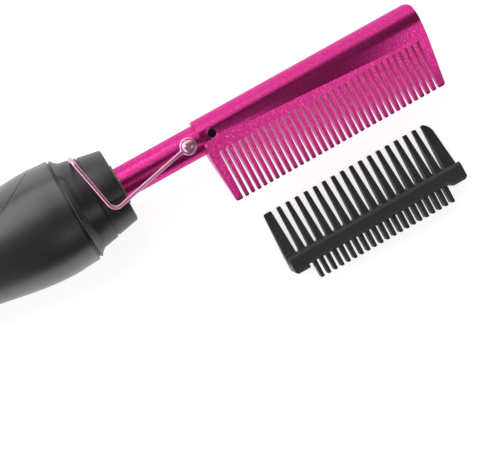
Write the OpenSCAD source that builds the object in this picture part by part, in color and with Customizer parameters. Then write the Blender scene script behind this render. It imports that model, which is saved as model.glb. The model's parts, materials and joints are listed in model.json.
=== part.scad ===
// Electric hot comb with a folding wire stand and a slip-on tooth guard.
// It lies on its side: +X runs from the tail to the tip of the comb, the teeth point along -Y
// and +Z is up. The tool's own axis is drawn first, with x = 0 at the front face of the nose.

/* [Handle] */
// Length from the shoulder to the tail cap
handle_len = 136; // [134:1:150]
// Radius at the shoulder
shoulder_r = 19.5; // [19.3:0.1:19.9]
// Radius at the crest of the bulb
bulb_r = 20; // [19.7:0.1:22]
// Distance from the shoulder back to the crest
crest_back = 9.7; // [7:0.1:14]
// Radius at the waist
waist_r = 13.8; // [13.4:0.1:15]
// Distance from the shoulder back to the waist
waist_back = 58; // [52:0.5:64]
// Radius at the belly near the tail
belly_r = 15.4; // [14.6:0.1:17]
// Distance from the belly forward of the tail
belly_ahead = 36; // [30:0.5:42]
// Radius at the tail
tail_r = 13; // [12.6:0.1:14]
// Thickness across the two side flats of the bulb
flat_thickness = 38.4; // [37.6:0.1:39]
// Wall of the handle shells
shell_wall = 2.3; // [1.8:0.1:2.4]
// Height above the axis of the flat facet that carries the controls
facet_y = 12.2; // [11.8:0.1:12.6]
// Slope of the ramp from the bulb down to the facet
ramp_slope = 0.34; // [0.3:0.01:0.45]
// Distance from the shoulder back to the foot of the ramp
ramp_back = 41.6; // [40:0.1:43]
// Slope of the parting line at the front of the top cover
parting_slope = 0.64; // [0.5:0.01:0.8]
// Distance from the shoulder back to the foot of the sloping parting line
parting_back = 31.7; // [28:0.1:36]
// Height above the axis of the level parting line
parting_y = 3.3; // [2:0.1:4.4]

/* [Collar and nose] */
// Length of the collar
collar_len = 9.4; // [8.6:0.1:12]
// Radius of the collar where it meets the shoulder
collar_root_r = 19; // [18.6:0.1:19.3]
// Radius of the collar at the end of its hollow sweep
collar_neck_r = 16.6; // [16.2:0.1:17]
// Radius of the collar at its front edge
collar_front_r = 15.7; // [15.5:0.1:16]
// Length of the hollow sweep
sweep_len = 4.4; // [3.6:0.1:5]
// Length of the nose cap
nose_len = 9; // [8.6:0.1:12]
// Radius of the nose cap at its root
nose_root_r = 15.3; // [15.1:0.1:15.5]
// Radius of the nose cap at its face
nose_face_r = 13.9; // [13.6:0.1:14.6]
// Radius of the nose cap's rounded edge
nose_edge_r = 0.9; // [0.5:0.1:1.4]
// Wall of the nose cap
nose_wall = 2; // [1.6:0.1:2.2]
// Bore of the collar
collar_bore_r = 12.8; // [12.6:0.1:13]
// Thickness of the collar's rear lip
lip_t = 1.2; // [1:0.1:1.6]
// Pitch radius of the nose screws
nose_screw_pcr = 10; // [9.9:0.1:10.2]
// Thickness of the bush flange
flange_t = 3.6; // [3:0.1:4]
// Outer radius of the gasket
gasket_r = 7.4; // [6.6:0.1:8.6]
// Thickness of the gasket
gasket_t = 0.6; // [0.4:0.1:1]

/* [Barrel] */
// Outer radius of the barrel
barrel_r = 5.8; // [5.7:0.05:5.9]
// Wall of the barrel
barrel_wall = 0.8; // [0.7:0.05:0.9]
// Length of barrel that shows between the nose and the comb head
barrel_show = 32.1; // [28:0.1:40]
// Depth of the socket in the comb head
socket_depth = 10; // [9.5:0.1:12]

/* [Comb head] */
// Length of the comb head
head_len = 88.4; // [84:0.1:96]
// Radius of the round spine
spine_r = 7; // [6.9:0.05:8]
// Distance from the axis to the tooth tips
tooth_reach = 25.5; // [22:0.1:30]
// Radius of the tooth tips, seen from the end
tip_r = 1; // [0.7:0.05:1.2]
// Distance from the axis to the tooth roots
tooth_root = 6.7; // [6:0.1:9]
// Number of slots between the teeth
slot_count = 33; // [29:1:34]
// Pitch of the teeth
tooth_pitch = 2.49; // [2.2:0.01:2.5]
// Width of a slot
slot_w = 1.1; // [0.8:0.05:1.3]
// How much each end plate narrows towards the tips
end_taper = 1.2; // [0:0.1:1.6]
// Bore for the heater
heater_bore_r = 4.2; // [4:0.05:4.4]
// Distance from the head's rear face to the set screw
set_screw_in = 4.6; // [3.6:0.1:5.4]
// Radius of the set screw
set_screw_r = 1.5; // [1.2:0.1:1.8]

/* [Wire stand] */
// Diameter of the wire
wire_d = 1.4; // [1.2:0.1:1.8]
// Distance from the comb head back to the pivot
pivot_back = 4.9; // [4.6:0.1:6]
// Inner radius of the eye at each end of the wire
eye_r = 1.75; // [1.6:0.05:1.9]
// How far the sides of the stand lie inside the plane of the side flats
stand_inset = 0; // [0:0.1:2]
// Radius of the bends
bend_r = 3; // [2:0.1:4]
// Distance from the nose face back to the lower corners
corner_back = 6; // [5:0.1:8]
// Distance of the lower corners below the axis
corner_drop = 6.8; // [5:0.1:8]
// Distance from the nose face back to the crossbar
crossbar_back = 10.5; // [10.4:0.1:11]
// Depth of the rest notch in the collar
notch_depth = 1.1; // [0.8:0.1:1.4]

/* [Guard] */
// Length of the guard
guard_len = 72.5; // [70:0.1:80]
// Distance from the seated place to where the guard lies, along Y
guard_off = 30.2; // [28:0.1:44]
// Reach of the long prongs above the trough floor
prong_reach = 20.2; // [17:0.1:22]
// Depth of the trough
trough_depth = 3; // [2.4:0.1:4]
// Distance from the comb's middle plane to the guard's back
guard_back = 7.5; // [7.2:0.1:8.5]
// Inner half width of the trough's lip
lip_inner = 3.3; // [2.8:0.1:3.6]
// Wall of the trough's lip
lip_wall = 1.4; // [1.2:0.1:2]
// Number of gaps between the long prongs
gap_count = 17; // [15:1:17]
// Pitch of the long prongs
prong_pitch = 3.88; // [3.6:0.01:3.9]
// Width of a gap between the long prongs
gap_w = 1.4; // [1:0.05:1.8]
// Number of short prongs
short_count = 21; // [17:1:21]
// Pitch of the short prongs
short_pitch = 2.777; // [2.4:0.001:2.8]
// Width of a short prong
short_w = 1.2; // [0.9:0.05:1.6]
// Reach of the short prongs below the trough floor
short_reach = 9.5; // [7:0.1:12]
// Length of each foot
foot_len = 5.6; // [4.6:0.1:6]
// Reach of the feet below the trough floor
foot_reach = 4; // [3.4:0.1:5]

/* [Controls] */
// Length of the control plate
plate_len = 58; // [57:0.5:62]
// Width of the control plate
plate_w = 10.8; // [10:0.1:11.2]
// Thickness of the control plate
plate_t = 1; // [0.8:0.1:1.2]
// Distance from the shoulder back to the front of the plate
plate_back = 43; // [42.5:0.5:45]
// Radius of the push buttons
button_r = 3.5; // [3.2:0.1:3.8]
// How far a button stands proud of the plate
button_proud = 0.6; // [0.4:0.1:1]
// Travel of a button
button_travel = 0.5; // [0.3:0.05:0.6]
// Pitch from the power button to the next button
power_pitch = 12; // [10:0.1:13]
// Pitch of the two temperature buttons
button_pitch = 10; // [9.4:0.1:11]
// Length of the display window
window_len = 17; // [14:0.5:18]
// Width of the display window
window_w = 8; // [6.5:0.1:8.4]

/* [Shell screws] */
// Distance from the shoulder back to the front pair of screws
front_screw_back = 17.6; // [16:0.1:19]
// Distance of the front pair to each side of the middle
front_screw_side = 9; // [8.6:0.1:9.6]
// Distance from the tail forward to the rear screw
rear_screw_ahead = 20; // [18:0.5:24]
// Radius of a shell screw
screw_r = 1.2; // [1:0.1:1.4]
// Radius of its head
screw_head_r = 2.6; // [2.2:0.1:2.8]
// Height of its head
screw_head_h = 2; // [1.4:0.1:2.4]
// Depth of the head's seat below the surface
screw_sink = 4.8; // [4:0.1:5.4]
// Height above the axis that the screws reach
screw_top_y = 6; // [5:0.1:6.6]
// Gap between a screw's head and the plug that closes its recess
plug_gap = 0.1; // [0.1:0.1:0.6]
// Wall of a post round a screw or round its head's recess
post_wall = 1.4; // [1:0.1:1.8]

/* [Board and heater] */
// Length of the circuit board
board_len = 72; // [66:1:78]
// Width of the circuit board
board_w = 17; // [14:0.5:18]
// Thickness of the circuit board
board_t = 1.6; // [1.2:0.1:2]
// Height of the board's top face above the axis
board_y = 5.4; // [5:0.1:5.6]
// Distance from the display back to the board's rear end
board_behind = 13.6; // [8:0.1:14]
// Least gap between the board and the rear screw's post
board_gap = 1; // [0.5:0.1:1.2]
// Radius of the posts under the board
board_post_r = 2.2; // [1.8:0.1:2.4]
// Radius of the board's screws
board_screw_r = 0.9; // [0.7:0.1:1]
// Radius of their heads
board_head_r = 1.7; // [1.4:0.1:1.8]
// Height of their heads
board_head_h = 1.2; // [0.8:0.1:1.6]
// Length of the board's screws
board_screw_len = 6; // [5:0.5:7]
// Width of a switch
switch_w = 5.2; // [4.4:0.1:6]
// Height of a switch body
switch_h = 2.2; // [1.8:0.1:2.4]
// Length of the terminal that the heater's leads end in
terminal_len = 8; // [6:0.5:9]
// Width of that terminal
terminal_w = 10; // [8:0.5:12]
// Height of that terminal
terminal_h = 6.8; // [6:0.1:8]
// Length of the terminal that the mains leads end in
mains_terminal_len = 5.5; // [4:0.5:7]
// Radius of the mains leads
mains_r = 1; // [0.8:0.1:1.2]
// Distance of the mains leads to each side of the middle
mains_side = 5; // [4.6:0.1:5.4]
// Radius of the heater's leads
lead_r = 0.9; // [0.7:0.1:1]
// Distance of the heater's leads to each side of the middle
lead_side = 1.6; // [1.4:0.1:1.8]
// Radius of the sensor's leads
sensor_r = 0.45; // [0.3:0.05:0.5]
// Distance of the sensor's leads to each side of the middle
sensor_side = 0.7; // [0.6:0.05:0.9]
// Size of the sensor's bead
sensor_bead = 1.6; // [1.2:0.1:2]
// Length of the thermal fuse
fuse_len = 9; // [7:0.5:11]
// Wall of the thermal fuse
fuse_wall = 0.6; // [0.4:0.05:0.7]
// Distance from the shoulder back to the thermal fuse
fuse_back = 18; // [16:0.5:20]
// Length of the heater cartridge
heater_len = 66.4; // [60:0.2:67]
// Length of the spacer that steadies the leads in the barrel
spacer_len = 2.4; // [1.6:0.1:3]
// Length of the film capacitor
capacitor_len = 18; // [12:0.5:20]
// Width of the film capacitor
capacitor_w = 8; // [6:0.5:9]
// Height of the film capacitor
capacitor_h = 12; // [8:0.5:12.5]
// Gap between the mains terminal and the capacitor
capacitor_gap = 1.5; // [0.5:0.1:3]
// Width of the heat plate
heat_plate_w = 14; // [10:0.5:15]
// Thickness of the heat plate
heat_plate_t = 4; // [2:0.5:5]
// Gap between the heat plate and the board's posts
plate_gap = 1; // [0.5:0.1:2]

/* [Tail] */
// Length of the tail cap
tail_cap_len = 7; // [6:0.1:10]
// Radius of the tail cap's small end
tail_cap_end_r = 9.4; // [8.8:0.1:10]
// Radius of the swivelling gland's neck
swivel_r = 6; // [5.4:0.1:6.4]
// Radius of the gland's outer collar
gland_r = 7.8; // [7.4:0.1:8.4]
// Length of the gland's outer collar
gland_len = 3.6; // [3:0.1:8]
// Bore for the cord
cord_bore_r = 3.2; // [2.8:0.1:3.6]
// Depth of the cord bore
cord_bore_depth = 11.6; // [9:0.1:12]
// Length of the spigot that carries the tail cap in the handle
cap_spigot_len = 5; // [4:0.5:6]
// Thickness of the gland's clip
gland_clip_t = 1; // [0.8:0.1:1.2]
// Distance from the tail forward to the contact block
contact_ahead = 9.2; // [8.8:0.1:10]
// Thickness of the contact block
contact_len = 3.8; // [3:0.1:4.4]
// Height of the contact block
contact_h = 12; // [11:0.5:13]
// Width of the contact block
contact_w = 14; // [13:0.5:15]

/* [Fits] */
// Radial clearance of a running fit
run_fit = 0.05; // [0.02:0.01:0.08]
// Radial clearance of a seated fit
seat_fit = 0.1; // [0.05:0.01:0.15]
// Gap kept between soft or loose pieces and their neighbours
loose_gap = 0.3; // [0.2:0.05:0.4]
// Shadow gap between the collar and the nose cap
shadow_gap = 0.2; // [0.1:0.05:0.3]

/* [Hidden] */

$fn = 72;
// How far pieces of one solid reach into each other, and how far a cut runs past the wall
join = 0.01;
past = 1;

// Places along the axis
shoulder_x = -(nose_len + collar_len);
collar_x = -nose_len;
tail_x = shoulder_x - handle_len;
crest_x = shoulder_x - crest_back;
waist_x = shoulder_x - waist_back;
belly_x = tail_x + belly_ahead;
head_x = barrel_show;
head_end_x = head_x + head_len;
pivot_x = head_x - pivot_back;
cap_end_x = tail_x - tail_cap_len;
gland_end_x = cap_end_x - shadow_gap - gland_len;

// The table plane, and the middle of the whole in X and Y
axis_z = flat_thickness / 2;
guard_rest_y = -(tooth_reach + loose_gap) - guard_off;
guard_lift = axis_z - guard_back;
low_y = guard_rest_y - short_reach;
mid_x = (gland_end_x + head_end_x) / 2;
mid_y = (low_y + bulb_r) / 2;

// Colours
black_soft = [0.07, 0.07, 0.075];
black_hard = [0.04, 0.04, 0.045];
pink = [0.86, 0.16, 0.56];
wire_pink = [0.86, 0.62, 0.72];
steel = [0.62, 0.63, 0.65];
brass = [0.78, 0.62, 0.3];
olive = [0.5, 0.48, 0.3];
cream = [0.9, 0.87, 0.78];
board_green = [0.1, 0.36, 0.2];
glass_dark = [0.1, 0.12, 0.14];

// ---------- shared shapes ----------

// Places the tool so that its lowest face is on z = 0 and its box is centred
module placed() translate([-mid_x, -mid_y, axis_z]) children();

// Turns a profile of [radius, x] points round the tool's axis
module turned() rotate([0, 90, 0]) rotate_extrude() children();

// A rod along X
module rod(x0, x1, r) translate([x0, 0, 0]) rotate([0, 90, 0]) cylinder(h = x1 - x0, r = r);

// A pipe along X
module pipe(x0, x1, r_out, r_in) difference() {
  rod(x0, x1, r_out);
  rod(x0 - past, x1 + past, r_in);
}

// A post along +Y, from y0 to y1
module post(x, z, y0, y1, r) translate([x, y0, z]) rotate([-90, 0, 0]) cylinder(h = y1 - y0, r = r);

// A block given by its two corners
module block(lo, hi) translate(lo) cube(hi - lo);

// A flat slot with round ends along X, in the XZ plane, from y0 to y1
module slot_y(x0, x1, w, y0, y1) {
  r = w / 2;
  post(x0 + r, 0, y0, y1, r);
  post(x1 - r, 0, y0, y1, r);
  block([x0 + r, y0, -r], [x1 - r, y1, r]);
}

// A smooth step from one radius to the next
function ease(t) = t * t * (3 - 2 * t);
function eased(x, xa, ra, xb, rb) = ra + (rb - ra) * ease((x - xa) / (xb - xa));

// Outer radius of the handle at x
function handle_r(x) =
  x > crest_x ? eased(x, shoulder_x, shoulder_r, crest_x, bulb_r)
  : x > waist_x ? eased(x, crest_x, bulb_r, waist_x, waist_r)
  : x > belly_x ? eased(x, waist_x, waist_r, belly_x, belly_r)
  : eased(x, belly_x, belly_r, tail_x, tail_r);

// ---------- handle ----------

// Points of the outline between two stations, as [radius, x]
function span(xa, ra, xb, rb, n) =
  [for (i = [0:n - 1]) let (x = xa + i * (xb - xa) / n) [eased(x, xa, ra, xb, rb), x]];
handle_outline = concat(
  span(tail_x, tail_r, belly_x, belly_r, 9),
  span(belly_x, belly_r, waist_x, waist_r, 10),
  span(waist_x, waist_r, crest_x, bulb_r, 13),
  span(crest_x, bulb_r, shoulder_x, shoulder_r, 5)
);
ramp_foot_x = shoulder_x - ramp_back;
far_r = bulb_r + past;
ramp_top_y = far_r + past;
parting_foot_x = shoulder_x - parting_back;
cover_top_y = far_r + 3 * past;
lock_rib_back = 4;
lock_rib_x = shoulder_x - lock_rib_back;
lock_rib_t = 1.2;
lock_rib_h = 0.8;
spigot_len = 6;
spigot_wall = 2.2;
collar_spigot_r = shoulder_r - shell_wall - seat_fit;

// The handle's solid shape, or the same shape inset by a wall and run past both ends
module handle_shape(inset) intersection() {
  over = inset > 0 ? past : 0;
  turned() polygon(concat(
    [[0, tail_x - over], [tail_r - inset, tail_x - over]],
    [for (p = handle_outline) [p[0] - inset, p[1]]],
    [[shoulder_r - inset, shoulder_x], [shoulder_r - inset, shoulder_x + over], [0, shoulder_x + over]]
  ));
  block([tail_x - 2 * past, -far_r, inset - axis_z], [shoulder_x + 2 * past, far_r, axis_z - inset]);
  translate([0, 0, -far_r]) linear_extrude(2 * far_r) polygon([
    [tail_x - 2 * past, -far_r],
    [shoulder_x + 2 * past, -far_r],
    [shoulder_x + 2 * past, ramp_top_y],
    [ramp_foot_x + (ramp_top_y - facet_y + inset) / ramp_slope, ramp_top_y],
    [ramp_foot_x, facet_y - inset],
    [tail_x - 2 * past, facet_y - inset]
  ]);
}

// Everything on the spine side of the parting line
module cover_side() translate([0, 0, -far_r]) linear_extrude(2 * far_r) polygon([
  [parting_foot_x + (cover_top_y - parting_y) / parting_slope, cover_top_y],
  [parting_foot_x, parting_y],
  [tail_x - 2 * past, parting_y],
  [tail_x - 2 * past, cover_top_y]
]);

// Places of the controls
plate_front_x = shoulder_x - plate_back;
plate_rear_x = plate_front_x - plate_len;
plate_seat_y = facet_y - plate_t;
cover_in_y = facet_y - shell_wall;
power_in = 8;
power_x = plate_front_x - power_in;
minus_x = power_x - power_pitch;
plus_x = minus_x - button_pitch;
window_gap = 3;
window_x = plus_x - button_r - window_gap - window_len / 2;
button_places = [power_x, minus_x, plus_x];
button_hole_r = button_r + run_fit;
flange_side = 0.8;
button_flange_r = button_r + flange_side;

// Shell screws: [x, z]
front_screw_x = shoulder_x - front_screw_back;
rear_screw_x = tail_x + rear_screw_ahead;
screw_places = [[front_screw_x, front_screw_side], [front_screw_x, -front_screw_side], [rear_screw_x, 0]];
screw_way_r = screw_head_r + 2 * seat_fit;
body_post_r = screw_way_r + post_wall;
cover_post_r = screw_r + run_fit + post_wall;
screw_room = 0.5;
function outer_y(place) = sqrt(pow(handle_r(place[0]), 2) - pow(place[1], 2));
function screw_seat_y(place) = screw_sink - outer_y(place);

// The board goes with the controls and clears the rear screw's post. It lies on one post between
// the first two buttons and one between the last button and the display
display_inset = 0.5;
display_front_x = window_x + window_len / 2 - display_inset;
display_rear_x = window_x - window_len / 2 + display_inset;
board_rear_x = max(display_rear_x - board_behind, rear_screw_x + body_post_r + board_gap);
board_front_x = board_rear_x + board_len;
board_under_y = board_y - board_t;
switch_half = switch_w / 2;
board_post_x = [(display_front_x + plus_x - switch_half) / 2, (power_x + minus_x) / 2];
board_hole_depth = board_screw_len + past;

// Cradle of the contact block
contact_x = tail_x + contact_ahead;
contact_half_h = contact_h / 2;
contact_half_w = contact_w / 2;

// Ring groove that locks the collar's spigot
module lock_groove() pipe(lock_rib_x - seat_fit, lock_rib_x + lock_rib_t + seat_fit,
  collar_spigot_r + lock_rib_h + seat_fit, collar_spigot_r - past);

module handle_shell() difference() {
  handle_shape(0);
  handle_shape(shell_wall);
}

module handle_body() color(black_soft) placed() difference() {
  union() {
    difference() {
      handle_shell();
      cover_side();
      lock_groove();
    }
    intersection() {
      handle_shape(shell_wall / 2);
      union() {
        for (p = screw_places) post(p[0], p[1], -bulb_r, 0, body_post_r);
        for (x = board_post_x) post(x, 0, -bulb_r, board_under_y, board_post_r);
        block([contact_x, -bulb_r, -contact_half_w],
          [contact_x + contact_len, -contact_half_h, contact_half_w]);
      }
    }
  }
  for (p = screw_places) {
    post(p[0], p[1], -far_r, screw_seat_y(p), screw_way_r);
    post(p[0], p[1], -bulb_r, past, screw_r + 2 * seat_fit);
  }
  for (x = board_post_x)
    post(x, 0, board_under_y - board_hole_depth, board_under_y + past, board_screw_r + run_fit);
}

// ---------- controls ----------

window_ledge = 1;

module top_cover() color(black_soft) placed() difference() {
  union() {
    intersection() {
      difference() {
        handle_shell();
        lock_groove();
      }
      cover_side();
    }
    intersection() {
      handle_shape(shell_wall / 2);
      for (p = screw_places) post(p[0], p[1], 0, bulb_r, cover_post_r);
    }
  }
  for (p = screw_places) post(p[0], p[1], -past, screw_top_y + screw_room, screw_r + run_fit);
  slot_y(plate_rear_x - seat_fit, plate_front_x + seat_fit, plate_w + 2 * seat_fit, plate_seat_y, bulb_r);
  for (x = button_places) post(x, 0, cover_in_y - past, facet_y, button_hole_r);
  block([window_x - window_len / 2 + window_ledge, cover_in_y - past, -window_w / 2 + window_ledge],
    [window_x + window_len / 2 - window_ledge, facet_y, window_w / 2 - window_ledge]);
}

module control_plate() color(black_hard) placed() difference() {
  slot_y(plate_rear_x, plate_front_x, plate_w, plate_seat_y, facet_y);
  for (x = button_places) post(x, 0, plate_seat_y - past, facet_y + past, button_hole_r);
  block([window_x - window_len / 2, plate_seat_y - past, -window_w / 2],
    [window_x + window_len / 2, facet_y + past, window_w / 2]);
}

module display_window() color(glass_dark) placed()
  block([window_x - window_len / 2 + seat_fit, plate_seat_y, -window_w / 2 + seat_fit],
    [window_x + window_len / 2 - seat_fit, facet_y, window_w / 2 - seat_fit]);

module display_module() color(cream) placed()
  block([display_rear_x, board_y, -window_w / 2],
    [display_front_x, cover_in_y - loose_gap, window_w / 2]);

// One push button: cap, retaining flange and stem
switch_top_y = board_y + switch_h;
stem_r = 1;
stem_hole_r = 1.2;
button_flange_t = 1;
flange_low_y = cover_in_y - button_flange_t;
module button(x) placed() {
  post(x, 0, flange_low_y, facet_y + button_proud, button_r);
  post(x, 0, flange_low_y, cover_in_y - seat_fit, button_flange_r);
  post(x, 0, switch_top_y + seat_fit, flange_low_y + join, stem_r);
}

module power_button() color(black_hard) button(power_x);
module minus_button() color(black_hard) button(minus_x);
module plus_button() color(black_hard) button(plus_x);

// Tactile switches under the buttons
stem_hole_depth = button_travel + 0.5;
module button_switches() color(steel) placed() for (x = button_places) difference() {
  block([x - switch_half, board_y, -switch_half], [x + switch_half, switch_top_y, switch_half]);
  post(x, 0, switch_top_y - stem_hole_depth, switch_top_y + past, stem_hole_r);
}

module circuit_board() color(board_green) placed() difference() {
  block([board_rear_x, board_under_y, -board_w / 2], [board_front_x, board_y, board_w / 2]);
  for (x = board_post_x) post(x, 0, board_under_y - past, board_y + past, board_screw_r + seat_fit);
}

module board_screws() color(steel) placed() for (x = board_post_x) {
  post(x, 0, board_under_y - board_screw_len, board_y + join, board_screw_r);
  post(x, 0, board_y, board_y + board_head_h, board_head_r);
}

// Parts under the board: the supply's film capacitor, and the heat plate of the heater's switch
module film_capacitor() color(olive) placed()
  block([mains_front_x + capacitor_gap, board_under_y - capacitor_h, -capacitor_w / 2],
    [mains_front_x + capacitor_gap + capacitor_len, board_under_y, capacitor_w / 2]);

module heat_plate() color(steel) placed()
  block([board_post_x[0] + board_post_r + plate_gap, board_under_y - heat_plate_t, -heat_plate_w / 2],
    [board_post_x[1] - board_post_r - plate_gap, board_under_y, heat_plate_w / 2]);

module shell_screws() color(steel) placed() for (p = screw_places) difference() {
  union() {
    post(p[0], p[1], screw_seat_y(p) - join, screw_top_y, screw_r);
    post(p[0], p[1], screw_seat_y(p) - screw_head_h, screw_seat_y(p), screw_head_r);
  }
  cross_recess_y(p[0], p[1], screw_seat_y(p) - screw_head_h, cross_depth);
}

// Plugs that close the recesses, flush with the shell
module screw_plugs() color(black_soft) placed() intersection() {
  handle_shape(0);
  for (p = screw_places)
    post(p[0], p[1], -far_r, screw_seat_y(p) - screw_head_h - plug_gap, screw_way_r - run_fit);
}

// A cross recess in a screw head whose face is at y
cross_len = 2.6;
cross_w = 0.6;
cross_depth = 1;
module cross_recess_y(x, z, y, depth) {
  block([x - cross_len / 2, y - past, z - cross_w / 2], [x + cross_len / 2, y + depth, z + cross_w / 2]);
  block([x - cross_w / 2, y - past, z - cross_len / 2], [x + cross_w / 2, y + depth, z + cross_len / 2]);
}

// ---------- collar, nose and what they hold ----------

sweep_steps = 8;
flange_x = shoulder_x + lip_t;
hub_x = flange_x + flange_t;
bead_t = 0.8;
bead_h = 0.8;
bead_gap = 0.4;
bead_r = barrel_r + bead_h;
bush_front_x = -nose_wall - bead_t - bead_gap;
lip_edge = 1.4;
lip_r = nose_screw_pcr - lip_edge;
bush_hub_r = 7.6;
boss_r = 2.05;
nose_screw_r = 0.95;
nose_screw_in = 2;
nose_screw_room = 1;
nose_screw_head_r = 1.8;
nose_screw_head_h = 1.6;
nose_bore_gap = 0.3;
crossbar_y = collar_front_r - notch_depth + loose_gap + wire_d / 2;
clip_t = 0.8;
clip_gap = 0.4;
clip_r = lip_r - clip_gap;
groove_depth = 0.45;
groove_r = barrel_r - groove_depth;

module collar() color(black_hard) placed() difference() {
  turned() polygon(concat(
    [[collar_spigot_r - spigot_wall, shoulder_x - spigot_len], [collar_spigot_r, shoulder_x - spigot_len],
      [collar_spigot_r, lock_rib_x], [collar_spigot_r + lock_rib_h, lock_rib_x],
      [collar_spigot_r + lock_rib_h, lock_rib_x + lock_rib_t], [collar_spigot_r, lock_rib_x + lock_rib_t],
      [collar_spigot_r, shoulder_x]],
    [for (i = [0:sweep_steps]) let (t = i / sweep_steps)
      [collar_neck_r + (collar_root_r - collar_neck_r) * pow(1 - t, 2), shoulder_x + sweep_len * t]],
    [[collar_front_r, collar_x], [collar_bore_r, collar_x], [collar_bore_r, flange_x],
      [lip_r, flange_x], [lip_r, shoulder_x], [collar_spigot_r - spigot_wall, shoulder_x]]
  ));
  for (side = [0, 1]) mirror([0, 0, side])
    block([shoulder_x - spigot_len - past, -bulb_r, axis_z - shell_wall - seat_fit],
      [shoulder_x, bulb_r, bulb_r]);
  nose_screw_holes(nose_screw_r + seat_fit);
  block([-crossbar_back - wire_d / 2 - loose_gap, collar_front_r - notch_depth, -stand_half_w],
    [-crossbar_back + wire_d / 2 + loose_gap, collar_root_r + past, stand_half_w]);
}

module nose_screw_holes(r) for (a = [0:120:240]) rotate([a, 0, 0])
  translate([0, nose_screw_pcr, 0])
    rod(shoulder_x - past, -nose_wall - nose_screw_in + nose_screw_room, r);

edge_steps = 6;
nose_ring_t = 1.5;
nose_ring_r = collar_bore_r - seat_fit - nose_ring_t;
nose_ring_out = 1;
module nose_cap() color(black_hard) placed() difference() {
  union() {
    turned() polygon(concat(
      [[nose_ring_r, hub_x], [collar_bore_r - seat_fit, hub_x],
        [collar_bore_r - seat_fit, collar_x + shadow_gap], [nose_root_r, collar_x + shadow_gap]],
      [for (i = [0:edge_steps]) let (a = 90 * i / edge_steps)
        [nose_face_r - nose_edge_r + nose_edge_r * cos(a), -nose_edge_r + nose_edge_r * sin(a)]],
      [[barrel_r + nose_bore_gap, 0], [barrel_r + nose_bore_gap, -nose_wall],
        [nose_face_r - nose_wall, -nose_wall], [nose_ring_r, collar_x + nose_ring_out]]
    ));
    for (a = [0:120:240]) rotate([a, 0, 0]) translate([0, nose_screw_pcr, 0])
      rod(hub_x, -nose_wall + join, boss_r);
  }
  nose_screw_holes(nose_screw_r + run_fit);
}

module barrel_bush() color(cream) placed() difference() {
  union() {
    rod(flange_x, hub_x, collar_bore_r - seat_fit);
    rod(flange_x, bush_front_x, bush_hub_r);
  }
  rod(flange_x - past, bush_front_x + past, barrel_r + run_fit);
  nose_screw_holes(nose_screw_r + seat_fit);
}

module barrel_clip() color(steel) placed() pipe(flange_x - clip_t, flange_x, clip_r, groove_r + run_fit);

module nose_screws() color(steel) placed() for (a = [0:120:240]) rotate([a, 0, 0])
  translate([0, nose_screw_pcr, 0]) {
    rod(shoulder_x - join, -nose_wall - nose_screw_in, nose_screw_r);
    rod(shoulder_x - nose_screw_head_h, shoulder_x, nose_screw_head_r);
  }

module nose_gasket() color(olive) placed() pipe(0, gasket_t, gasket_r, barrel_r + run_fit);

// ---------- barrel and heater ----------

barrel_tail = 1.6;
barrel_rear_x = shoulder_x - barrel_tail;
barrel_in_r = barrel_r - barrel_wall;
socket_gap = 0.5;
barrel_front_x = head_x + socket_depth - socket_gap;
spot_depth = 0.2;
spot_z = barrel_r - spot_depth;
far_barrel_r = barrel_r + past;
shoulder_screw_r = eye_r - run_fit;
stand_thread_r = 1.2;
sleeve_half = 4;
sleeve_wall = 1.4;
liner_wall = 0.8;
sleeve_in_r = barrel_in_r - sleeve_wall;
set_screw_x = head_x + set_screw_in;

// Radial holes for the stand screws, on both sides
module stand_holes(r, z0, z1) for (side = [-1, 1]) mirror([0, 0, side < 0 ? 1 : 0])
  translate([pivot_x, 0, z0]) cylinder(h = z1 - z0, r = r);

module barrel() color(pink) placed() difference() {
  union() {
    rod(barrel_rear_x, barrel_front_x, barrel_r);
    rod(bush_front_x, bush_front_x + bead_t, bead_r);
  }
  rod(barrel_rear_x - past, barrel_front_x + past, barrel_in_r);
  difference() {
    rod(flange_x - clip_t - run_fit, flange_x, far_barrel_r);
    rod(flange_x - 2 * clip_t, flange_x + past, groove_r);
  }
  stand_holes(shoulder_screw_r + run_fit, spot_z, far_barrel_r);
  stand_holes(stand_thread_r + seat_fit, 0, far_barrel_r);
  translate([set_screw_x, 0, 0]) cylinder(h = far_barrel_r, r = set_screw_r + seat_fit);
}

module barrel_liner() color(cream) placed()
  pipe(shoulder_x, pivot_x - sleeve_half - loose_gap, barrel_in_r - run_fit, barrel_in_r - liner_wall);

module pivot_sleeve() color(steel) placed() difference() {
  pipe(pivot_x - sleeve_half, pivot_x + sleeve_half, barrel_in_r - run_fit, sleeve_in_r);
  stand_holes(stand_thread_r + run_fit, 0, barrel_r);
}

// Heater leads and sensor leads: [y, z] across the barrel
lead_y = 1.5;
sensor_y = -1.8;
lead_at = [[lead_y, lead_side], [lead_y, -lead_side]];
sensor_at = [[sensor_y, sensor_side], [sensor_y, -sensor_side]];
heater_gap = 2;
heater_x = head_x + socket_depth + heater_gap;
heater_end_x = heater_x + heater_len;
bore_end_x = heater_end_x + heater_gap;
heater_tip = 1;
heater_tip_r = heater_bore_r - 1;
terminal_x = board_front_x - terminal_len;
terminal_low_y = board_under_y - terminal_h;
terminal_half_w = terminal_w / 2;

module leads(x0, x1, places, r) for (p = places) translate([0, p[0], p[1]]) rod(x0, x1, r);

module lead_spacer() color(cream) placed() difference() {
  rod(barrel_front_x - spacer_len, barrel_front_x, barrel_in_r - seat_fit);
  leads(barrel_front_x - spacer_len - past, barrel_front_x + past, lead_at, lead_r + run_fit);
  leads(barrel_front_x - spacer_len - past, barrel_front_x + past, sensor_at, sensor_r + run_fit);
}

module heater_cartridge() color(steel) placed() {
  rod(heater_x, heater_end_x, heater_bore_r - seat_fit);
  translate([heater_end_x - join, 0, 0]) rotate([0, 90, 0])
    cylinder(h = heater_tip, r1 = heater_bore_r - seat_fit, r2 = heater_tip_r);
}

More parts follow.
